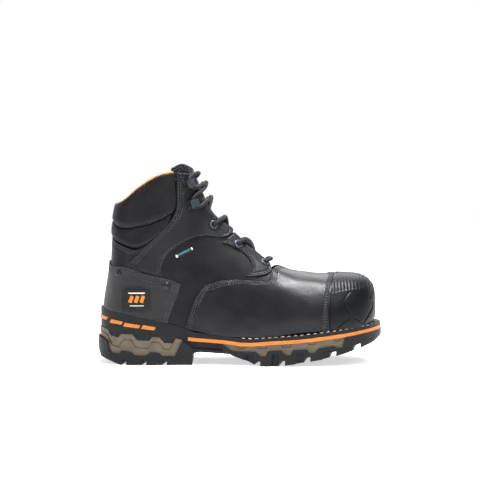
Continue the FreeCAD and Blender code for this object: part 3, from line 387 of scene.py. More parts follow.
def levels(length, marks, pitch):
    """Values from 0 to 1 with lines close together at both ends and at the marked distances."""
    spots = list(np.linspace(0, length, max(4, int(length / pitch)) + 1))
    fine = []
    for spot in (0.1, 0.3, 0.7, 1.3):
        fine += [spot, length - spot]
    for mark in marks:
        fine += [mark - 0.7, mark - 0.35, mark, mark + 0.35, mark + 0.7]
    spots = [spot for spot in spots if min([abs(spot - f) for f in fine]) > 0.3 or spot in (0, length)]
    spots = sorted(set(spots + [f for f in fine if 0 < f < length]))
    return np.array(spots) / length


def make_grid(patch, seams, pitch=GRAIN):
    rough = Grid(patch, np.linspace(0, 1, 25), np.linspace(0, 1, 25))
    wide, tall = float(np.median(rough.start[:, -1])), float(np.median(rough.first[-1]))
    marks_s = list(seams.get("start", [])) + [wide - d for d in seams.get("end", [])]
    marks_t = list(seams.get("first", [])) + [tall - d for d in seams.get("last", [])]
    return Grid(patch, levels(wide, marks_s, pitch), levels(tall, marks_t, pitch))


def seam_channels(grid, seams):
    """How far the stitched rows pull the surface in."""
    pulled = np.zeros_like(grid.start)
    for edge, rows in seams.items():
        distance = getattr(grid, edge)
        for row in rows:
            pulled += CHANNEL_DEPTH * np.exp(-((distance - row) / CHANNEL_WIDTH) ** 2)
    return np.minimum(pulled, CHANNEL_DEPTH)


def rolled_edge(grid, radius):
    inset = np.minimum(grid.border(), radius)
    return radius - np.sqrt(radius ** 2 - (radius - inset) ** 2)


def ripples(points, size, height, seed=0.0):
    """Smooth unevenness of the surface, the same on every run."""
    out = np.zeros(points.shape[:-1])
    for index in np.ndindex(out.shape):
        x, y, z = points[index] / size
        out[index] = noise.noise(Vector((x + seed, y, z)))
    return out * height


def closed_mesh(name, outer, inner):
    """A closed mesh from two grids of points with the same border."""
    rows, columns = outer.shape[:2]
    verts = np.concatenate([outer.reshape(-1, 3), inner.reshape(-1, 3)]) * MM
    back = rows * columns
    faces = []
    for j in range(rows - 1):
        for i in range(columns - 1):
            a = j * columns + i
            faces.append((a, a + columns, a + columns + 1, a + 1))
            faces.append((back + a, back + a + 1, back + a + columns + 1, back + a + columns))
    ring = ([i for i in range(columns)] + [j * columns + columns - 1 for j in range(1, rows)]
            + [(rows - 1) * columns + i for i in range(columns - 2, -1, -1)]
            + [j * columns for j in range(rows - 2, 0, -1)])
    for a, b in zip(ring, ring[1:] + ring[:1]):
        faces.append((a, b, back + b, back + a))
    return new_object(name, verts.tolist(), faces)


def in_scene(name, data):
    """A new object that holds the data."""
    thing = bpy.data.objects.new(name, data)
    bpy.context.scene.collection.objects.link(thing)
    return thing


def new_object(name, verts, faces, smooth=True):
    mesh = bpy.data.meshes.new(name)
    mesh.from_pydata(verts, [], faces)
    mesh.validate()
    fix_normals(mesh)
    mesh.polygons.foreach_set("use_smooth", [smooth] * len(mesh.polygons))
    return in_scene(name, mesh)


def tube_faces(rings, around, first=0):
    """Faces of a closed tube whose points are listed ring after ring."""
    faces = []
    for ring in range(rings - 1):
        for k in range(around):
            a, b = first + ring * around + k, first + ring * around + (k + 1) % around
            faces.append((a, b, b + around, a + around))
    last = first + (rings - 1) * around
    return faces + [tuple(range(first, first + around))[::-1], tuple(range(last, last + around))]


def fix_normals(mesh):
    work = bmesh.new()
    work.from_mesh(mesh)
    bmesh.ops.recalc_face_normals(work, faces=work.faces)
    work.to_mesh(mesh)
    work.free()


def row_along(grid, surface, edge, distance, trim=2.0):
    """The line on a surface at a distance from one of its edges, with the normals there."""
    away = getattr(grid, edge)
    lines, normals = [], []
    if edge in ("first", "last"):
        away, surface_t = away.T, surface.transpose(1, 0, 2)
        normal_t, other = grid.normal.transpose(1, 0, 2), np.minimum(grid.start, grid.end).T
    else:
        surface_t, normal_t, other = surface, grid.normal, np.minimum(grid.first, grid.last)
    for near, points, ups, clear in zip(away, surface_t, normal_t, other):
        order = np.argsort(near)
        if near[order[-1]] < distance:
            continue
        if np.interp(distance, near[order], clear[order]) < trim:
            continue
        lines.append([np.interp(distance, near[order], points[order, k]) for k in range(3)])
        normals.append([np.interp(distance, near[order], ups[order, k]) for k in range(3)])
    return np.array(lines), np.array(normals)


def stitches(name, rows, finish, pitch=3.0, length=2.4, radius=0.42, body="boot"):
    """Thread along rows: every stitch is a short bead whose ends dip into the material."""
    around, stations = 6, ((-0.5, 0.35, -0.45), (-0.3, 0.95, 0.1), (0.0, 1.0, 0.22), (0.3, 0.95, 0.1),
                           (0.5, 0.35, -0.45))
    verts, faces = [], []
    for line, normals in rows:
        if len(line) < 2:
            continue
        along = distances_along(line)
        for spot in np.arange(pitch / 2, along[-1] - pitch / 2, pitch):
            here = np.array([np.interp(spot, along, line[:, k]) for k in range(3)])
            ahead = np.array([np.interp(spot + 0.5, along, line[:, k]) for k in range(3)]) - here
            up = np.array([np.interp(spot, along, normals[:, k]) for k in range(3)])
            forward = ahead / np.linalg.norm(ahead)
            up = up - forward * up.dot(forward)
            up /= np.linalg.norm(up)
            side = np.cross(up, forward)
            first = len(verts)
            for share, swell, raised in stations:
                for k in range(around):
                    turn = 2 * math.pi * k / around
                    around_it = side * math.cos(turn) + up * math.sin(turn)
                    verts.append((here + forward * share * length + up * raised * 2 * radius
                                  + around_it * radius * swell) * MM)
            faces += tube_faces(len(stations), around, first)
    thread = new_object(name, [tuple(v) for v in verts], faces)
    dress(thread, finish)
    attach(thread, body)
    return thread


# ---- materials ---------------------------------------------------------------------------------------
def linked(tree, node_type, inputs=None, **settings):
    """A node with its settings and with values or sockets put into its inputs."""
    node = tree.nodes.new(node_type)
    for key, value in settings.items():
        setattr(node, key, value)
    for key, value in (inputs or {}).items():
        if isinstance(value, bpy.types.NodeSocket):
            tree.links.new(value, node.inputs[key])
        else:
            node.inputs[key].default_value = value
    return node


def start_material(name, roughness=0.5, **fixed):
    made = bpy.data.materials.new(name)
    made.use_nodes = True
    tree = made.node_tree
    shader = tree.nodes["Principled BSDF"]
    shader.inputs["Roughness"].default_value = roughness
    for key, value in fixed.items():
        shader.inputs[key.replace("_", " ")].default_value = value
    place_node = tree.nodes.new("ShaderNodeTexCoord")
    return made, tree, shader, place_node.outputs["Object"]


def noise_map(tree, where, size, detail=3.0, roughness=0.5):
    """Noise whose features are about size millimetres across."""
    return linked(tree, "ShaderNodeTexNoise", {"Vector": where, "Scale": 1 / (size * MM), "Detail": detail,
                                               "Roughness": roughness}).outputs["Fac"]


def ramp(tree, factor, low, high, low_at=0.35, high_at=0.65):
    node = linked(tree, "ShaderNodeValToRGB", {"Fac": factor})
    ends = node.color_ramp.elements
    ends[0].position, ends[1].position = low_at, high_at
    ends[0].color, ends[1].color = (*low, 1), (*high, 1)
    return node.outputs["Color"]


def span(tree, factor, low, high):
    node = linked(tree, "ShaderNodeMapRange", {"Value": factor, "To Min": low, "To Max": high})
    return node.outputs["Result"]


def mix_colour(tree, factor, first, second, blend="MIX"):
    node = linked(tree, "ShaderNodeMix", data_type="RGBA", blend_type=blend)
    for index, value in ((0, factor), (6, first), (7, second)):
        if isinstance(value, bpy.types.NodeSocket):
            tree.links.new(value, node.inputs[index])
        elif index == 0:
            node.inputs[0].default_value = value
        else:
            node.inputs[index].default_value = (*value, 1)
    return node.outputs[2]


def bump(tree, height, distance, strength=1.0, under=None):
    inputs = {"Height": height, "Distance": distance * MM, "Strength": strength}
    if under is not None:
        inputs["Normal"] = under
    return linked(tree, "ShaderNodeBump", inputs).outputs["Normal"]


def finish_with(tree, shader, **sockets):
    """Links what is given to the shader's sockets."""
    for key, value in sockets.items():
        tree.links.new(value, shader.inputs[key.replace("_", " ")])


def leather_material(name, dark, light, roughness=(0.36, 0.48), pebble=1.1, depth=0.10, gloss=0.26):
    """Smooth waxed cowhide: fine pebbles, faint creases, cloudy colour."""
    made, tree, shader, where = start_material(name, Specular_IOR_Level=gloss)
    clouds = noise_map(tree, where, 22, 4)
    tone = ramp(tree, clouds, dark, light, 0.3, 0.7)
    fine = noise_map(tree, where, 0.6, 2)
    flecks = ramp(tree, fine, (0.0, 0.0, 0.0), (0.03, 0.03, 0.035))
    rough = linked(tree, "ShaderNodeMath", {0: clouds, 1: fine}, operation="MULTIPLY").outputs[0]
    cells = linked(tree, "ShaderNodeTexVoronoi", {"Vector": where, "Scale": 1 / (pebble * MM)},
                   feature="SMOOTH_F1").outputs["Distance"]
    creases = noise_map(tree, where, 5, 5, 0.6)
    finish_with(tree, shader, Base_Color=mix_colour(tree, 0.18, tone, flecks, "ADD"),
                Roughness=span(tree, rough, roughness[0], roughness[1] + 0.2),
                Normal=bump(tree, creases, depth * 2.2, 0.6, bump(tree, cells, depth)))
    return made


def nubuck_material(name):
    """Napped leather: speckled, matt, with a soft edge light."""
    made, tree, shader, where = start_material(name, 0.85, Specular_IOR_Level=0.25, Sheen_Weight=0.25,
                                               Sheen_Roughness=0.6)
    specks = noise_map(tree, where, 0.55, 3, 0.7)
    patches = noise_map(tree, where, 9, 4, 0.6)
    tone = ramp(tree, specks, (0.004, 0.004, 0.005), (0.026, 0.026, 0.029), 0.38, 0.72)
    worn = ramp(tree, patches, (0.75, 0.75, 0.76), (1.15, 1.15, 1.14))
    finish_with(tree, shader, Base_Color=mix_colour(tree, 1.0, tone, worn, "MULTIPLY"),
                Normal=bump(tree, specks, 0.16, 0.8))
    return made


def rubber_material(name, colour, roughness=0.5, size=0.8, depth=0.05, speckle=0.25, gloss=0.24):
    """Moulded rubber or plastic: a fine even texture and a little unevenness."""
    made, tree, shader, where = start_material(name, roughness, Specular_IOR_Level=gloss)
    fine = noise_map(tree, where, size, 3, 0.6)
    broad = noise_map(tree, where, 14, 3)
    low = tuple(c * (1 - speckle) for c in colour)
    high = tuple(c * (1 + speckle) for c in colour)
    tone = ramp(tree, fine, low, high, 0.3, 0.7)
    shade = ramp(tree, broad, (0.88, 0.88, 0.88), (1.1, 1.1, 1.1))
    finish_with(tree, shader, Base_Color=mix_colour(tree, 1.0, tone, shade, "MULTIPLY"),
                Roughness=span(tree, broad, roughness - 0.08, roughness + 0.1),
                Normal=bump(tree, fine, depth))
    return made


def stripe_material(name, colour, streak):
    """Moulded plastic with faint streaks along the sole."""
    made, tree, shader, where = start_material(name, 0.42, Specular_IOR_Level=0.45)
    stretched = linked(tree, "ShaderNodeMapping", {"Vector": where, "Scale": (0.04, 0.3, 1.0)}).outputs[0]
    lines = noise_map(tree, stretched, 0.9, 4, 0.6)
    finish_with(tree, shader, Base_Color=ramp(tree, lines, streak, colour, 0.3, 0.62),
                Normal=bump(tree, lines, 0.06))
    return made


def metal_material(name, colour, roughness, metallic=0.9):
    """Plated or pressed metal with rubbed patches."""
    made, tree, shader, where = start_material(name, roughness, Metallic=metallic)
    rub = noise_map(tree, where, 1.6, 5, 0.65)
    bright = tuple(min(1.0, c * 2.2) for c in colour)
    finish_with(tree, shader, Base_Color=ramp(tree, rub, colour, bright, 0.5, 0.8),
                Roughness=span(tree, rub, roughness - 0.1, roughness + 0.15), Normal=bump(tree, rub, 0.03))
    return made


WAVE_SCALE = 0.314       # a wave texture of this scale repeats once per unit


def weave_material(name, first, second, size=0.9, threads="XZ"):
    """Woven cloth: two crossing waves, or ribs along one direction."""
    made, tree, shader, where = start_material(name, 0.8, Specular_IOR_Level=0.25, Sheen_Weight=0.2,
                                               Sheen_Roughness=0.5)
    crossing = 1.0
    for axis in threads:
        wave = linked(tree, "ShaderNodeTexWave", {"Vector": where, "Scale": WAVE_SCALE / (size * MM)},
                      wave_type="BANDS", bands_direction=axis).outputs["Fac"]
        crossing = linked(tree, "ShaderNodeMath", {0: crossing, 1: wave}, operation="MULTIPLY").outputs[0]
    fuzz = noise_map(tree, where, 0.5, 3, 0.7)
    tone = ramp(tree, crossing, first, second, 0.1, 0.7)
    soft = ramp(tree, fuzz, (0.8, 0.8, 0.8), (1.15, 1.15, 1.15))
    finish_with(tree, shader, Base_Color=mix_colour(tree, 1.0, tone, soft, "MULTIPLY"),
                Normal=bump(tree, crossing, 0.18, 0.8))
    return made


def perforated_material(name, dark, light):
    """Soft collar leather with rows of small needle holes."""
    made = leather_material(name, dark, light, (0.36, 0.50), 1.4, 0.08, gloss=0.17)
    tree = made.node_tree
    shader = tree.nodes["Principled BSDF"]
    where = next(n for n in tree.nodes if n.bl_idname == "ShaderNodeTexCoord").outputs["Object"]
    grid = {"Vector": where, "Scale": 1 / (4.2 * MM), "Randomness": 0.0}
    cells = linked(tree, "ShaderNodeTexVoronoi", grid, feature="F1").outputs["Distance"]
    hole = linked(tree, "ShaderNodeMapRange", {"Value": cells, "From Min": 0.10, "From Max": 0.17}).outputs[0]
    under = shader.inputs["Normal"].links[0].from_socket
    colour = shader.inputs["Base Color"].links[0].from_socket
    # the holes are painted near black: painted shade inside the needle holes
    finish_with(tree, shader, Base_Color=mix_colour(tree, hole, (0.004, 0.004, 0.004), colour),
                Normal=bump(tree, hole, 0.25, 1.0, under))
    return made


MATERIALS = {}


def add(maker, name, *values, **settings):
    MATERIALS[name] = maker(name, *values, **settings)


BLACK_LEATHER = ((0.0045, 0.0047, 0.0065), (0.0085, 0.0087, 0.0112))
ORANGE = (0.66, 0.20)                   # red and green of the moulded and the printed orange
for panel in ("eyestay", "facing", "backstay", "toe_band"):
    add(leather_material, panel + "_leather", *BLACK_LEATHER)
add(leather_material, "quarter_leather", *BLACK_LEATHER, gloss=0.17)
add(leather_material, "vamp_leather", *BLACK_LEATHER, roughness=(0.28, 0.38))
add(leather_material, "tongue_leather", *BLACK_LEATHER, pebble=1.6, depth=0.16)
add(perforated_material, "collar_leather", *BLACK_LEATHER)
add(nubuck_material, "heel_nubuck")
add(rubber_material, "toe_rubber", (0.0060, 0.0066, 0.0080), 0.38, gloss=0.15)
add(rubber_material, "outsole_rubber", (0.0062, 0.0072, 0.0095), 0.5, 0.9, 0.08)
add(rubber_material, "midsole_rubber", (0.0070, 0.0074, 0.0092), 0.48, 1.1, 0.07)
add(rubber_material, "welt_rubber", (0.0075, 0.0080, 0.0095), 0.5)
add(rubber_material, "patch_rubber", (0.010, 0.010, 0.011), 0.6)
add(rubber_material, "gasket_rubber", (0.03, 0.03, 0.03), 0.6)
add(rubber_material, "chassis_plastic", (0.118, 0.098, 0.068), 0.4, 0.6, 0.04, 0.3)
add(rubber_material, "stiffener_board", (0.30, 0.29, 0.27), 0.7)
add(rubber_material, "filler_foam", (0.35, 0.31, 0.26), 0.8, 1.5, 0.3)
add(rubber_material, "insole_fibreboard", (0.55, 0.45, 0.33), 0.85, 0.6, 0.1)
add(rubber_material, "aglet_plastic", (0.012, 0.012, 0.012), 0.25)
add(rubber_material, "tongue_foam", (0.05, 0.05, 0.05), 0.9, 0.8, 0.3)
add(rubber_material, "lace_cord", (0.014, 0.0145, 0.017), 0.7, 0.35, 0.12, 0.8)
# dark_thread: its grey is partly the thread's own colour, a little lighter than the leather, and partly a
# painted highlight on the stitch beads
add(rubber_material, "dark_thread", (0.052, 0.054, 0.059), 0.55, 0.3, 0.05, 0.5)
add(rubber_material, "cream_thread", (0.52, 0.44, 0.33), 0.7, 0.3, 0.08, 0.25)
# lining_back: black used as painted shade on the sheet behind the lining and on the vamp lining; on the
# label's border thread it is the thread's own dark colour
add(rubber_material, "lining_back", (0.006, 0.006, 0.007), 0.8)
add(rubber_material, "orange_print", (*ORANGE, 0.02), 0.5)
add(rubber_material, "white_print", (0.75, 0.74, 0.70), 0.55)
add(stripe_material, "accent_orange", (*ORANGE, 0.022), (0.50, 0.135, 0.012))
add(metal_material, "steel_cap", (0.45, 0.46, 0.48), 0.4, 1.0)
add(metal_material, "gunmetal_hardware", (0.095, 0.106, 0.124), 0.30)
add(metal_material, "rivet_metal", (0.030, 0.032, 0.036), 0.38)
add(weave_material, "lining_fabric", (0.55, 0.14, 0.02), (0.85, 0.30, 0.05), 0.8)
add(weave_material, "webbing", (0.006, 0.006, 0.007), (0.035, 0.036, 0.039), 1.6, "Z")
add(weave_material, "woven_tag", (0.006, 0.007, 0.008), (0.02, 0.022, 0.024), 0.5)
add(weave_material, "footbed_fabric", (0.012, 0.012, 0.014), (0.04, 0.04, 0.045), 0.8)
add(weave_material, "teal_weave", (0.02, 0.12, 0.15), (0.06, 0.30, 0.34), 0.4)


def dress(piece, finish):
    piece.data.materials.clear()
    piece.data.materials.append(MATERIALS[finish])


SLOT_OF = {row["node"]: row["material_slot"] for row in frame["record"]["subparts"]}


def carried_over():
    """Every CAD node gets its slot's finish."""
    for node, thing in frame["nodes"].items():
        finish = MATERIALS[SLOT_OF[node]]
        if not thing.material_slots:
            thing.data.materials.append(finish)
        for slot in thing.material_slots:
            slot.material = finish


SHARP_ANGLE = 35


def soften(node, width):
    """Rounds a CAD node's sharp edges."""
    thing = frame["nodes"][node]
    edge = thing.modifiers.new("edge", "BEVEL")
    edge.width = width * MM
    edge.segments = 2
    edge.limit_method = "ANGLE"
    edge.angle_limit = math.radians(SHARP_ANGLE)
    edge.harden_normals = True
    shade = thing.modifiers.new("shade", "WEIGHTED_NORMAL")
    shade.keep_sharp = True


# ---- pieces of the upper -------------------------------------------------------------------------------
def leather_panel(node, patch, lifts, seams=None, crown=0.0, relief=None, holes=(), body="boot", sag=0.35,
                  pitch=GRAIN, keep_border=False):
    """A panel with rolled edges, sewn channels and its rows of thread, in place of a CAD node."""
    seams = seams or {}
    grid = make_grid(patch, seams, pitch)
    inner, outer = lifts
    lift = np.full(grid.s.shape, float(outer))
    lift += crown * (1 - (2 * grid.s - 1) ** 8) * (1 - (2 * grid.t - 1) ** 4)
    soft_inside = np.minimum(1.0, grid.border() / 6.0)
    lift += ripples(grid.base, 16.0, sag, len(node)) * soft_inside
    lift -= seam_channels(grid, seams)
    if relief:
        lift += relief(grid)
    lift -= rolled_edge(grid, min(0.9, (outer - inner) * 0.75))
    lift = np.maximum(lift, inner + 0.1)
    surface = grid.base + grid.normal * lift[..., None]
    back = grid.base + grid.normal * inner
    piece = closed_mesh(node + "_skin", surface, back)
    if keep_border:
        piece["border"] = grid.border().ravel().tolist()
    dress(piece, SLOT_OF[node])
    for hole in holes:
        punch(piece, *hole)
    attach(piece, body)
    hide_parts(node)
    rows = [row_along(grid, surface, edge, distance)
            for edge, distances in seams.items() for distance in distances]
    if rows:
        stitches(node + "_thread", rows, "dark_thread", body=body)
    return piece


def punch(piece, x, z, side):
    """A round hole through a panel, for an eyelet."""
    chart = place([(x, z)], side)[0]
    middle, normal = chart_point(chart), skin_normal(chart)
    turn = Vector(normal).to_track_quat("Z", "Y").to_matrix().to_4x4()
    around = 20
    verts = []
    for height in (-7.0, 7.0):
        for k in range(around):
            angle = 2 * math.pi * k / around
            spot = turn @ Vector((EYELET_HOLE * math.cos(angle), EYELET_HOLE * math.sin(angle), height))
            verts.append(tuple((spot + Vector(middle)) * MM))
    drill = new_object("drill", verts, tube_faces(2, around), smooth=False)
    hole = piece.modifiers.new("hole", "BOOLEAN")
    hole.object = drill
    hole.operation = "DIFFERENCE"
    hole.solver = "EXACT"
    apply_modifiers(piece)
    bpy.data.objects.remove(drill)


def apply_modifiers(piece):
    evaluated = piece.evaluated_get(bpy.context.evaluated_depsgraph_get())
    mesh = bpy.data.meshes.new_from_object(evaluated)
    piece.modifiers.clear()
    old, piece.data = piece.data, mesh
    bpy.data.meshes.remove(old)


def quarter(side):
    rear = [(-66.2, 206.2), (-66.2, 185.0), (-67.5, 164.0), (-80.0, 145.0), (-96.0, 124.0),
            (-103.0, 103.0), (-99.0, 75.0), seam(-95.0)]
    front = THROAT_LINE + [(36.0, 97.0), (29.0, 89.0), (0.0, 83.0), (-30.0, 77.0), (-44.0, 60.0), seam(-50.0)]
    return side_patch(rear, front, [rear[0], front[0]], foot_of_upper(-95.0, -50.0, 4), side)


def eyestay(side):
    rear = [(-68.2, 206.4), (-68.2, 184.0), (-69.5, 165.0), (-80.2, 148.3), (-101.1, 127.4), (-122.0, 106.8)]
    front = THROAT_LINE[:-2] + [(-12.5, 137.8), (-24.0, 137.2), (-36.4, 139.0), (-50.0, 136.8),
                                (-63.5, 130.2), (-76.0, 120.0), (-82.4, 110.0), (-84.0, 95.4)]
    lower = [rear[-1], (-112.0, 102.8), (-100.0, 99.4), front[-1]]
    return side_patch(rear, front, [rear[0], front[0]], lower, side)


def facing(side):
    throat = [(-6.8, 140.0), (14.0, 121.5), (32.6, 105.6)]
    lower = [(-19.0, 130.6), (9.6, 112.8), (12.7, 102.3), (6.0, 95.0)]
    front = [throat[-1], (33.6, 99.8), (27.4, 96.2), lower[-1]]
    return side_patch(throat, lower, [throat[0], lower[0]], front, side)


def backstay():
    return wrap_patch([(-93.0, 137.3), (-100.5, 129.6), (-112.6, 124.2), (-126.2, 128.0), (None, 137.3)],
                      heel_foot(-96.0), [(-98.4, 124.6), (-104.4, 103.0), (-100.4, 75.0)])


def vamp():
    return front_patch([(42.5, None), (39.5, 103.2), (40.6, 97.0), (33.0, 91.6), (8.0, 91.0), (-20.0, 90.4),
                        (-38.0, 85.0)], (-38.0, 85.0), [(-47.0, 74.0), (-53.0, 60.0)], -59.0)


def heel_overlay():
    return wrap_patch([(-63.5, 86.7), (-80.2, 92.6), (-104.0, 98.8), (-126.2, 105.2), (-136.0, 104.4),
                       (None, 110.5)], heel_foot(-78.0), [(-69.8, 68.9)])


def collar_pad_upper():
    return wrap_patch([(-68.6, 206.8), (-85.0, 203.0), (-110.0, 188.5), (None, 173.0)],
                      [(-72.6, 163.4), (-90.7, 153.3), (-111.6, 148.1), (None, 156.0)],
                      [(-68.6, 185.0), (-68.9, 170.0)])


def collar_pad_lower():
    return wrap_patch([(-73.0, 162.4), (-90.7, 152.8), (-111.6, 147.6), (None, 155.4)],
                      [(-76.6, 151.9), (-98.6, 130.6), (-112.7, 125.9), (-126.2, 129.8), (None, 139.3)],
                      [(-74.4, 157.4)])


def toe_bumper():
    return front_patch([(107.0, None), (103.5, 90.0), (99.5, 81.5), (95.8, 66.8)],
                       (95.8, 66.8), [(95.3, 52.0)], 95.0)


def toe_band():
    front = [(103.6, None), (100.2, 90.0), (96.2, 81.5), (93.6, 66.8), (93.4, 52.0), seam(93.4)]
    rear = [(97.0, None), (93.4, 87.5), (90.2, 77.0), (88.0, 63.0), (87.0, 50.0), seam(86.8)]
    return band_patch(front, rear)


def lining_shaft(margin=0.0):
    """The lining's outline; a margin moves its front edges forward."""
    side = [(-74.0, 180.0), (-64.0, 150.0), (-52.0, 122.0), (-47.5, 95.0), (-47.0, 60.0)]
    top = [(-76.0 + margin, 206.8), (-86.5, 203.8), (-110.0, 190.2), (None, 174.8)]
    return wrap_patch(top, heel_foot(-49.0), [(x + margin, z) for x, z in side])


SHADE_SHEET_MARGIN = 7.0      # how far the black sheet of painted shade behind the lining reaches past the lining's front edge, so that the gaps between panels show painted shade
BINDING_LIFT = -2.6
BINDING_SIZE = 2.8
BINDING_SPACING = 1.2


def build_binding():
    """The lining turned over the collar's top edge, as a soft rolled rim."""
    rim = wrap_edge([(-71.0, 206.6), (-85.0, 203.4), (-110.0, 189.4), (None, 174.0)])
    points = lifted(rim(np.linspace(0, 1, 90)), np.full(90, BINDING_LIFT))
    roll = braided_tube("collar_binding", points * MM, BINDING_SIZE, BINDING_SPACING)[0]
    dress(roll, "lining_fabric")
    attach(roll, "boot")


def tongue(trim=0.0):
    side = [(-71.0 + trim, 212.0 - trim), (-68.0 + trim, 205.5 - trim), (-62.0 + trim, 192.0),
            (-57.5 + trim, 176.0), (-49.5 + trim, 162.0), (-31.0 + trim, 143.0), (2.0 + trim, 118.5),
            (30.0, 103.6)]
    return instep_patch(side, [(-62.0, 215.6 - trim), (-43.6, None)], 33.0)


def tongue_webbing():
    return instep_patch([(-46.2, 204.0), (-40.8, 187.0), (-33.4, 173.0)], [(-41.0, None)], -29.0)


def distance_to_lines(points, lines):
    """How far points lie from side-view polylines."""
    nearest = np.full(points.shape[:-1], 1e9)
    seen = points[..., [0, 2]]
    for line in lines:
        for a, b in zip(np.array(line[:-1], float), np.array(line[1:], float)):
            along = np.clip(((seen - a) @ (b - a)) / (b - a).dot(b - a), 0, 1)
            gap = seen - a - along[..., None] * (b - a)
            nearest = np.minimum(nearest, np.linalg.norm(gap, axis=-1))
    return nearest


BUMPER_GROOVES = [[(116.8, 77.3), (109.1, 68.5), (117.5, 53.9), (104.3, 42.2)],
                  [(121.5, 52.1), (130.3, 45.1), (139.8, 61.2), (137.2, 71.1), (141.6, 79.9)],
                  [(138.7, 67.8), (144.2, 56.1)]]
BUMPER_RIDGE = [(97.0, 75.0), (110.0, 77.5), (124.0, 79.0), (136.0, 81.5), (141.0, 82.0)]
RIB_PITCH = 3.45
RIB_HEIGHT = 0.5
CROWN_START = 90.0       # above this height the ribs fade
RIDGE_HEIGHT = 0.35
GROOVE_DEPTH = 1.0
BUMPER_TUCK = 1.6        # how far the bumper's foot turns in
BUMPER_TUCK_HEIGHT = 9.0


def bumper_relief(grid):
    """Ribs over the top of the toe, a ridge below them and angular grooves on the sides."""
    x, z = grid.base[..., 0], grid.base[..., 2]
    ridge_z = np.interp(x, *zip(*BUMPER_RIDGE))
    on_top = 1 / (1 + np.exp(-(z - ridge_z) / 0.4))
    crown = np.clip((z - CROWN_START) / 5.0, 0, 1)
    ribs = RIB_HEIGHT * (1 - 0.6 * crown) * (np.cos(2 * math.pi * x / RIB_PITCH) - 1) / 2
    ridge = RIDGE_HEIGHT * np.exp(-((z - ridge_z) / 0.8) ** 2)
    grooves = GROOVE_DEPTH * np.exp(-(distance_to_lines(grid.base, BUMPER_GROOVES) / 0.6) ** 4)
    inner = np.minimum(1, grid.border() / 3)
    tuck = BUMPER_TUCK * np.clip(1 - grid.last / BUMPER_TUCK_HEIGHT, 0, 1) ** 2
    return (on_top * ribs + ridge - grooves * (1 - on_top)) * inner - tuck - 0.2


def rounded_patch(middle, size, radius, tilt=0.0):
    """A rectangle with round corners on the lateral side, turned by tilt degrees."""
    half_x, half_z = size[0] / 2, size[1] / 2
    turn = math.radians(tilt)

    def point(s, t):
        up = (2 * t - 1) * half_z
        over = np.clip(np.abs(up) - (half_z - radius), 0, radius)
        across = (2 * s - 1) * (half_x - radius + np.sqrt(radius ** 2 - over ** 2))
        x = middle[0] + across * math.cos(turn) - up * math.sin(turn)
        z = middle[1] + across * math.sin(turn) + up * math.cos(turn)
        return place_seen(x.ravel(), z.ravel(), 1).reshape(x.shape + (2,))

    return point


def flat_piece(name, patch, lifts, finish, pitch=PLATE_GRAIN):
    """A thin plate that lies on the skin."""
    grid = make_grid(patch, {}, pitch)
    lift = lifts[1] - rolled_edge(grid, (lifts[1] - lifts[0]) * 0.7)
    surface = grid.base + grid.normal * lift[..., None]
    piece = closed_mesh(name, surface, grid.base + grid.normal * lifts[0])
    dress(piece, finish)
    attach(piece, "boot")
    return piece


LABEL_MIDDLE = (-110.5, 71.0)
LABEL_SIZE = (27.2, 22.0)
LABEL_SEAM_SIZE = (31.6, 26.4)
LABEL_LIFT = OVERLAY[1] + 1.0
PRINT = (0.02, 0.2)      # the back and the face of a printed mark, above what it is printed on
TAG_MIDDLE = np.array([-59.8, 120.6])
TAG_TILT = 26.5
TAG_THICKNESS = 0.65


def build_label():
    """A sewn rubber patch with a plain mark: two rules and three slanted bars."""
    plate = flat_piece("label_plate", rounded_patch(LABEL_MIDDLE, LABEL_SIZE, 2.6),
                       (OVERLAY[1] + 0.1, LABEL_LIFT), "patch_rubber")
    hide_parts("label_patch")
    around = make_grid(rounded_patch(LABEL_MIDDLE, LABEL_SEAM_SIZE, 4.0), {}, PLATE_GRAIN)
    surface = around.base + around.normal * OVERLAY[1]
    rows = [row_along(around, surface, edge, 0.5, trim=1.5) for edge in ("start", "end", "first", "last")]
    stitches("label_thread", rows, "lining_back", pitch=2.3, length=1.6, radius=0.3)
    x, z = LABEL_MIDDLE
    marks = [("rule_high", (x, z + 6.6), (17.5, 1.3), 0.6, 0, "white_print"),
             ("rule_low", (x, z - 7.0), (15.0, 0.8), 0.38, 0, "white_print")]
    for i in range(3):
        marks.append(("bar_%d" % i, (x - 5.9 + 5.9 * i, z), (3.9, 7.6), 0.8, -20, "orange_print"))
    for name, spot, size, radius, tilt, finish in marks:
        flat_piece("label_" + name, rounded_patch(spot, size, radius, tilt),
                   (LABEL_LIFT + PRINT[0], LABEL_LIFT + PRINT[1]), finish, PRINT_GRAIN)


def build_side_tag():
    """A woven tag: a teal band between white ends, on black."""
    turn = math.radians(TAG_TILT)
    along = np.array([math.cos(turn), math.sin(turn)])
    above = np.array([-math.sin(turn), math.cos(turn)])
    printed = (TAG_THICKNESS + 0.01, TAG_THICKNESS + 0.13)
    for name, offset, raised, size, lifts, finish in (
            ("band", 0.0, 0.0, (20.6, 4.4), (0.05, TAG_THICKNESS), "woven_tag"),
            ("middle", 0.2, 0.5, (14.6, 2.2), printed, "teal_weave"),
            ("rear_end", -8.9, 0.2, (2.2, 2.8), printed, "white_print"),
            ("front_end", 8.9, 0.2, (1.5, 2.8), printed, "white_print")):
        spot = TAG_MIDDLE + along * offset + above * raised
        piece = flat_piece("tag_" + name, rounded_patch(spot, size, 0.25, TAG_TILT), lifts, finish,
                           PRINT_GRAIN)
        if name == "band":
            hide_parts("side_tag")


WELT_STITCH_OUT = 3.5    # from the upper's skin to the row of stitches, where the welt is wide
WELT_STITCH_LEAST = 1.9
WELT_STITCH_SPAN = (-54.0, 143.0)
ABOVE_WELT = 12.0
WELT_RIM = 0.6           # from the row of stitches to the welt's edge, where the welt is narrow


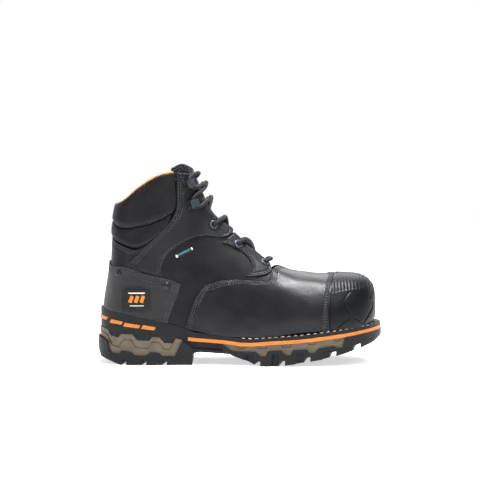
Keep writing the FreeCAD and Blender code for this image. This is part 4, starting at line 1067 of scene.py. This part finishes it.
def welt_stitches():
    """Cream thread on the welt's top, close to the upper, from the waist round the toe."""
    node = frame["nodes"]["welt"]
    places = [node.matrix_world @ v.co for v in node.data.vertices]
    welt = BVHTree.FromPolygons(places, [tuple(p.vertices) for p in node.data.polygons])

    def on_welt(spot):
        return welt.ray_cast(Vector((spot[0], spot[1], spot[2] + ABOVE_WELT)) * MM, Vector((0, 0, -1)))[0]

    rows = []
    for side in (1, -1):
        line = []
        for x in np.linspace(*WELT_STITCH_SPAN, 120):
            chart = place([seam(x)], side)[0]
            foot = chart_point(chart)
            out = skin_normal(chart) * [1, 1, 0]
            out /= np.linalg.norm(out)
            for clear in np.arange(WELT_STITCH_OUT, WELT_STITCH_LEAST, -0.2):
                hit = on_welt(foot + out * clear)
                if hit and on_welt(foot + out * (clear + WELT_RIM)):
                    line.append(np.array(hit) / MM)
                    break
        rows.append((np.array(line), np.tile([0.0, 0.0, 1.0], (len(line), 1))))
    stitches("welt_thread", rows, "cream_thread", pitch=7.0, length=5.0, radius=0.6)


# ---- padded pieces -----------------------------------------------------------------------------------
PAD_FRAMES = 20
PAD_PRESSURE = 6.0
PAD_MOST = 1.6           # how far the pressure may move a point
PAD_SEAM = 2.2           # width of the strip that stays sewn down
PAD_CLOTH = {"quality": 6, "mass": 0.2, "tension_stiffness": 12, "compression_stiffness": 4,
             "bending_stiffness": 0.4, "use_pressure": True, "uniform_pressure_force": PAD_PRESSURE,
             "vertex_group_mass": "sewn"}


def puffed(piece, pinned):
    """Blows a sewn cover up: the pinned points stay and the free face stretches over its filling."""
    before = np.array([v.co for v in piece.data.vertices])
    group = piece.vertex_groups.new(name="sewn")
    group.add([int(i) for i in pinned], 1.0, "REPLACE")
    cloth = piece.modifiers.new("cloth", "CLOTH")
    for key, value in PAD_CLOTH.items():
        setattr(cloth.settings, key, value)
    cloth.settings.effector_weights.gravity = 0.0
    cloth.collision_settings.use_collision = False
    cloth.point_cache.frame_start = 1
    cloth.point_cache.frame_end = PAD_FRAMES
    for number in range(1, PAD_FRAMES + 1):
        bpy.context.scene.frame_set(number)
    apply_modifiers(piece)
    bpy.context.scene.frame_set(1)
    moved = np.array([v.co for v in piece.data.vertices]) - before
    far = np.linalg.norm(moved, axis=1, keepdims=True)
    kept = before + moved * np.minimum(1.0, PAD_MOST * MM / np.maximum(far, 1e-9))
    piece.data.vertices.foreach_set("co", kept.ravel())
    piece.data.update()


def pinned_points(piece):
    """The back face and the outer strip of the front face of a closed mesh of two grids."""
    distances = piece["border"]
    half = len(piece.data.vertices) // 2
    return [i for i in range(half) if distances[i] < PAD_SEAM] + list(range(half, 2 * half))


FOOTBED_VOXEL = 1.3
FOOTBED_DENT_SIZE = 9.0
FOOTBED_DENTS = 0.25
FOOTBED_SHRUNK = 0.2     # so that the uneven cloth stays inside the CAD footbed


def build_footbed():
    """The loose insole as a soft form: rounded edges and a slightly uneven cloth top."""
    node = frame["nodes"]["footbed"]
    piece = in_scene("footbed_cushion", node.data.copy())
    piece.matrix_world = node.matrix_world
    remesh = piece.modifiers.new("even", "REMESH")
    remesh.mode = "VOXEL"
    remesh.voxel_size = FOOTBED_VOXEL * MM
    remesh.use_smooth_shade = True
    smooth = piece.modifiers.new("round", "SMOOTH")
    smooth.iterations = 8
    smooth.factor = 0.5
    apply_modifiers(piece)
    for vertex in piece.data.vertices:
        dent = noise.noise(vertex.co / (FOOTBED_DENT_SIZE * MM)) * FOOTBED_DENTS - FOOTBED_SHRUNK
        vertex.co += vertex.normal * dent * MM
    dress(piece, "footbed_fabric")
    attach(piece, "footbed")
    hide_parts("footbed")


def build_upper():
    for side, name in ((1, "lateral"), (-1, "medial")):
        eyelets = [(x, z, side) for x, z in EYELETS]
        leather_panel("quarter_" + name, quarter(side), BASE, holes=eyelets, sag=0.5)
        leather_panel("eyestay_" + name, eyestay(side), OVERLAY,
                      {"first": [2.0, 4.6, 7.2], "last": SEWN_TWICE}, holes=eyelets[1:])
        leather_panel("facing_" + name, facing(side), OVERLAY,
                      {"first": [2.0], "last": [2.0, 4.2], "end": [2.0, 4.0]}, holes=eyelets[:2])
    thrice = {"first": SEWN_THRICE, "start": SEWN_THRICE, "end": SEWN_THRICE}
    leather_panel("backstay", backstay(), BASE, {"first": [2.4, 4.8]})
    leather_panel("heel_overlay", heel_overlay(), OVERLAY, thrice)
    leather_panel("vamp", vamp(), VAMP, thrice, sag=0.6)
    leather_panel("toe_band", toe_band(), TOE_BAND, {"first": [1.2, 3.0], "last": [1.2, 3.0]}, sag=0.1)
    leather_panel("toe_bumper", toe_bumper(), TOP_RUBBER, relief=bumper_relief, sag=0.0, pitch=FINE_GRAIN)
    leather_panel("lining_shaft", lining_shaft(), LINING, sag=0.0)
    for node, patch, crown in (("collar_pad_upper", collar_pad_upper(), COLLAR_CROWN),
                               ("collar_pad_lower", collar_pad_lower(), COLLAR_CROWN - 0.7)):
        pad = leather_panel(node, patch, (STIFFENER[0], 0.4), {"last": [2.6]}, crown - PAD_RISE, sag=0.7,
                            keep_border=True)
        puffed(pad, pinned_points(pad))
    # a black sheet of painted shade behind the lining, reaching past its front edge into the gaps between
    # panels; the vamp lining is painted black as shade too
    flat_piece("painted_shade_sheet", lining_shaft(SHADE_SHEET_MARGIN), (LINING[1] + 0.05, LINING[1] + 0.2),
               "lining_back", GRAIN)
    dress(frame["nodes"]["lining_vamp"], "lining_back")
    dress(frame["nodes"]["heel_rivets"], "rivet_metal")
    build_binding()


def build_tongue():
    foam_front = TONGUE_FACE - 1.4
    foam_back = foam_front - TONGUE_FOAM
    inside = tongue(TONGUE_TRIM)
    leather_panel("tongue_shell", tongue(), (TONGUE_FACE - 1.2, TONGUE_FACE),
                  {"first": [3.0, 5.6], "start": [3.0], "end": [3.0]}, crown=1.2, body="tongue", sag=0.8)
    foam = leather_panel("tongue_pad", inside, (foam_back, foam_front), body="tongue")
    leather_panel("tongue_lining", inside, (foam_back - 1.5, foam_back - 0.5), body="tongue")
    leather_panel("tongue_webbing", tongue_webbing(), (TONGUE_FACE + 0.1, TONGUE_FACE + 0.9), crown=1.2,
                  body="tongue", sag=0.1)


# ---- the lace ----------------------------------------------------------------------------------------
LACE_BAR = (33.0, None, 0, 4.8)
LACE_HALF = [
    (26.7, 108.2, 1, 4.9), (26.7, 108.2, 1, -4.3), (19.0, 116.2, 1, -4.8), (11.0, None, 0, "cross"),
    (2.8, 130.8, -1, 5.6), (-2.3, 128.3, -1, 4.9), (-2.3, 128.3, -1, -4.3), (-11.0, 142.0, -1, -4.8),
    (-17.5, None, 0, "cross"), (-22.5, 154.2, 1, 5.6), (-29.0, 149.4, 1, 4.9), (-29.0, 149.4, 1, -4.3),
    (-33.5, 163.0, 1, -4.0), (-32.5, None, 0, "cross"), (-40.0, 173.5, -1, 5.6),
    (-50.5, 166.4, -1, 5.3), (-54.6, 178.9, -1, 5.3),
    (-43.0, 186.5, -1, 5.6), (-38.6, None, 0, "cross"), (-46.0, 191.0, 1, 5.6),
    (-54.7, 188.0, 1, 5.3), (-58.8, 200.5, 1, 5.3),
    (-47.6, 206.5, 1, 4.0), (-43.6, 203.0, 1, -3.6), (-52.0, 199.5, 1, -4.3), (-63.6, 200.5, 1, -4.4),
    (-77.0, 190.0, 1, -7.9), (-78.5, 148.0, 1, -7.9), (-77.0, 106.0, 1, -7.9), (-87.0, 106.0, 1, -7.9),
    (-88.5, 145.0, 1, -7.9), (-87.0, 184.0, 1, -7.9), (-97.0, 184.0, 1, -7.9), (-98.5, 150.0, 1, -7.9),
    (-97.0, 122.0, 1, -7.9),
]
CROSSING_LIFTS = {1: 3.2, -1: -1.9}


def lace_point(x, z, side, lift):
    return lifted(place([(x, z)], side or 1)[0], lift)


def lace_route():
    """The lace's corner points, from the lateral end over the lowest bar to the medial end."""
    halves = {}
    for half in (1, -1):
        halves[half] = [lace_point(x, z, across * half, CROSSING_LIFTS[half] if lift == "cross" else lift)
                        for x, z, across, lift in LACE_HALF]
    return halves[1][::-1] + [lace_point(*LACE_BAR)] + halves[-1]


def smooth_path(route):
    """Points of the NURBS line that has the route as its control points."""
    curve = bpy.data.curves.new("lace_path", "CURVE")
    curve.dimensions = "3D"
    line = curve.splines.new("NURBS")
    line.points.add(len(route) - 1)
    for spot, (x, y, z) in zip(line.points, route):
        spot.co = (x * MM, y * MM, z * MM, 1)
    line.order_u = 3
    line.use_endpoint_u = True
    line.resolution_u = 24
    holder = in_scene("lace_path", curve)
    mesh = bpy.data.meshes.new_from_object(holder.evaluated_get(bpy.context.evaluated_depsgraph_get()))
    path = [vertex.co.copy() for vertex in mesh.vertices]
    bpy.data.objects.remove(holder)
    return path


def even_points(path, spacing):
    points = np.array([tuple(p) for p in path])
    along = distances_along(points)
    spots = np.linspace(0, along[-1], int(along[-1] / spacing) + 1)
    return np.stack([np.interp(spots, along, points[:, k]) for k in range(3)], -1), along[-1]


STRANDS = 8
BRAID_PITCH = 8.5        # length in which a strand goes once round
BRAID_SPACING = 0.7


def braided_tube(name, path, diameter, spacing):
    """A round braid: the surface rises where strands of two crossing directions pass over.

    The path is in metres, and the result is the piece with its length in metres."""
    around = 2 * STRANDS
    points, length = even_points(path, spacing * MM)
    ahead = np.gradient(points, axis=0)
    ahead /= np.linalg.norm(ahead, axis=1, keepdims=True)
    side = Vector(ahead[0]).orthogonal().normalized()
    verts = []
    for i, (middle, forward) in enumerate(zip(points, ahead)):
        forward = Vector(forward)
        side = (side - forward * side.dot(forward)).normalized()
        up = forward.cross(side)
        twist = 2 * math.pi * i * spacing / BRAID_PITCH
        for k in range(around):
            turn = 2 * math.pi * k / around
            weave = math.sin(STRANDS / 2 * turn + twist) * math.sin(STRANDS / 2 * turn - twist)
            radius = diameter * MM / 2 * (0.97 + 0.06 * weave)
            verts.append(tuple(Vector(middle) + (side * math.cos(turn) + up * math.sin(turn)) * radius))
    return new_object(name, verts, tube_faces(len(points), around)), length


def build_lace():
    route = lace_route()
    path = smooth_path(route)
    lace, length = braided_tube("lace_braid", path, LACE, BRAID_SPACING)
    dress(lace, "lace_cord")
    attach(lace, "boot")
    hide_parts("lace")


# ---- stage, camera and light (in metres) ---------------------------------------------------------------
STAGE_REACH = 6
WALL_Y = 2.6
WALL_TOP = 5
WORLD_LIGHT = 0.20
FLOOR_GLOW = 0.60
WALL_GLOW = 1.0

LENS = 120.0
CAMERA_DISTANCE = 1.75
CAMERA_ELEVATION = 3.0
CAMERA_RAISED = 0.0245   # the picture's middle is this far above the boot's

SUN_POWER = 1.3
SUN_SOFTNESS = 55
AREA_LIGHTS = {          # place, aim, size, power
    "overhead": ((0.08, -0.05, 0.75), (0.05, 0, 0.08), (0.20, 0.28), 10),
    "key": ((0.45, -0.9, 0.9), (0.03, 0, 0.1), (0.4, 0.4), 4),
    "left": ((-0.9, -0.7, 0.6), (-0.05, 0, 0.1), (0.4, 0.6), 2.5),
    "back": ((0.2, 0.9, 0.9), (0, 0, 0.1), (0.8, 0.6), 6),
}


def build_stage():
    """A white floor and a plain white wall behind it, both a little self-lit so they stay even."""
    far = STAGE_REACH
    floor = new_object("floor", [(-far, -far, 0), (far, -far, 0), (far, WALL_Y, 0), (-far, WALL_Y, 0)],
                       [(0, 1, 2, 3)])
    wall = new_object("wall", [(-far, WALL_Y, 0), (far, WALL_Y, 0), (far, WALL_Y, WALL_TOP),
                               (-far, WALL_Y, WALL_TOP)], [(0, 1, 2, 3)])
    for thing, base, glow in ((floor, 0.8, FLOOR_GLOW), (wall, 0.0, WALL_GLOW)):
        finish, _, shader, _ = start_material(thing.name + "_white", 0.9, Specular_IOR_Level=0.0)
        shader.inputs["Base Color"].default_value = (base, base, base, 1)
        shader.inputs["Emission Color"].default_value = (1, 1, 1, 1)
        shader.inputs["Emission Strength"].default_value = glow
        thing.data.materials.append(finish)
    world = bpy.data.worlds.new("studio")
    bpy.context.scene.world = world
    world.use_nodes = True
    world.node_tree.nodes["Background"].inputs["Color"].default_value = (1, 1, 1, 1)
    world.node_tree.nodes["Background"].inputs["Strength"].default_value = WORLD_LIGHT


def aimed(holder, spot, target):
    holder.location = spot
    holder.rotation_euler = (Vector(target) - Vector(spot)).to_track_quat("-Z", "Y").to_euler()


def build_camera():
    """A long lens from the lateral side, a little above the floor."""
    target = (Vector(CAD_BOX[0]) + Vector(CAD_BOX[1])) / 2
    target.z += CAMERA_RAISED
    elevation = math.radians(CAMERA_ELEVATION)
    camera = bpy.data.cameras.new("camera")
    camera.lens = LENS
    holder = in_scene("camera", camera)
    back = Vector((0, -math.cos(elevation), math.sin(elevation)))
    aimed(holder, target + back * CAMERA_DISTANCE, target)
    bpy.context.scene.camera = holder


def build_light():
    """A broad light from above, an overhead box for the sheen, and softer ones at the sides."""
    sky = bpy.data.lights.new("sky", "SUN")
    sky.energy = SUN_POWER
    sky.angle = math.radians(SUN_SOFTNESS)
    in_scene("sky", sky).rotation_euler = (math.radians(10), math.radians(8), 0)
    for name, (spot, target, size, power) in AREA_LIGHTS.items():
        lamp = bpy.data.lights.new(name, "AREA")
        lamp.shape = "RECTANGLE"
        lamp.size, lamp.size_y = size
        lamp.energy = power
        aimed(in_scene(name, lamp), spot, target)


# ---- all together ----------------------------------------------------------------------------------------
SOLE_PARTS = ("outsole", "midsole", "heel_chassis", "forefoot_chassis_lateral", "forefoot_chassis_medial")
SMALL_PARTS = ("welt", "accent_strip", "heel_accents", "lace_hooks_lateral", "lace_hooks_medial")

bpy.context.scene.view_settings.view_transform = "Standard"
build_camera()
build_lace()
carried_over()
for node in SOLE_PARTS:
    soften(node, 0.6)
for node in SMALL_PARTS:
    soften(node, 0.3)
build_upper()
build_tongue()
build_label()
build_side_tag()
welt_stitches()
build_footbed()
build_stage()
build_light()
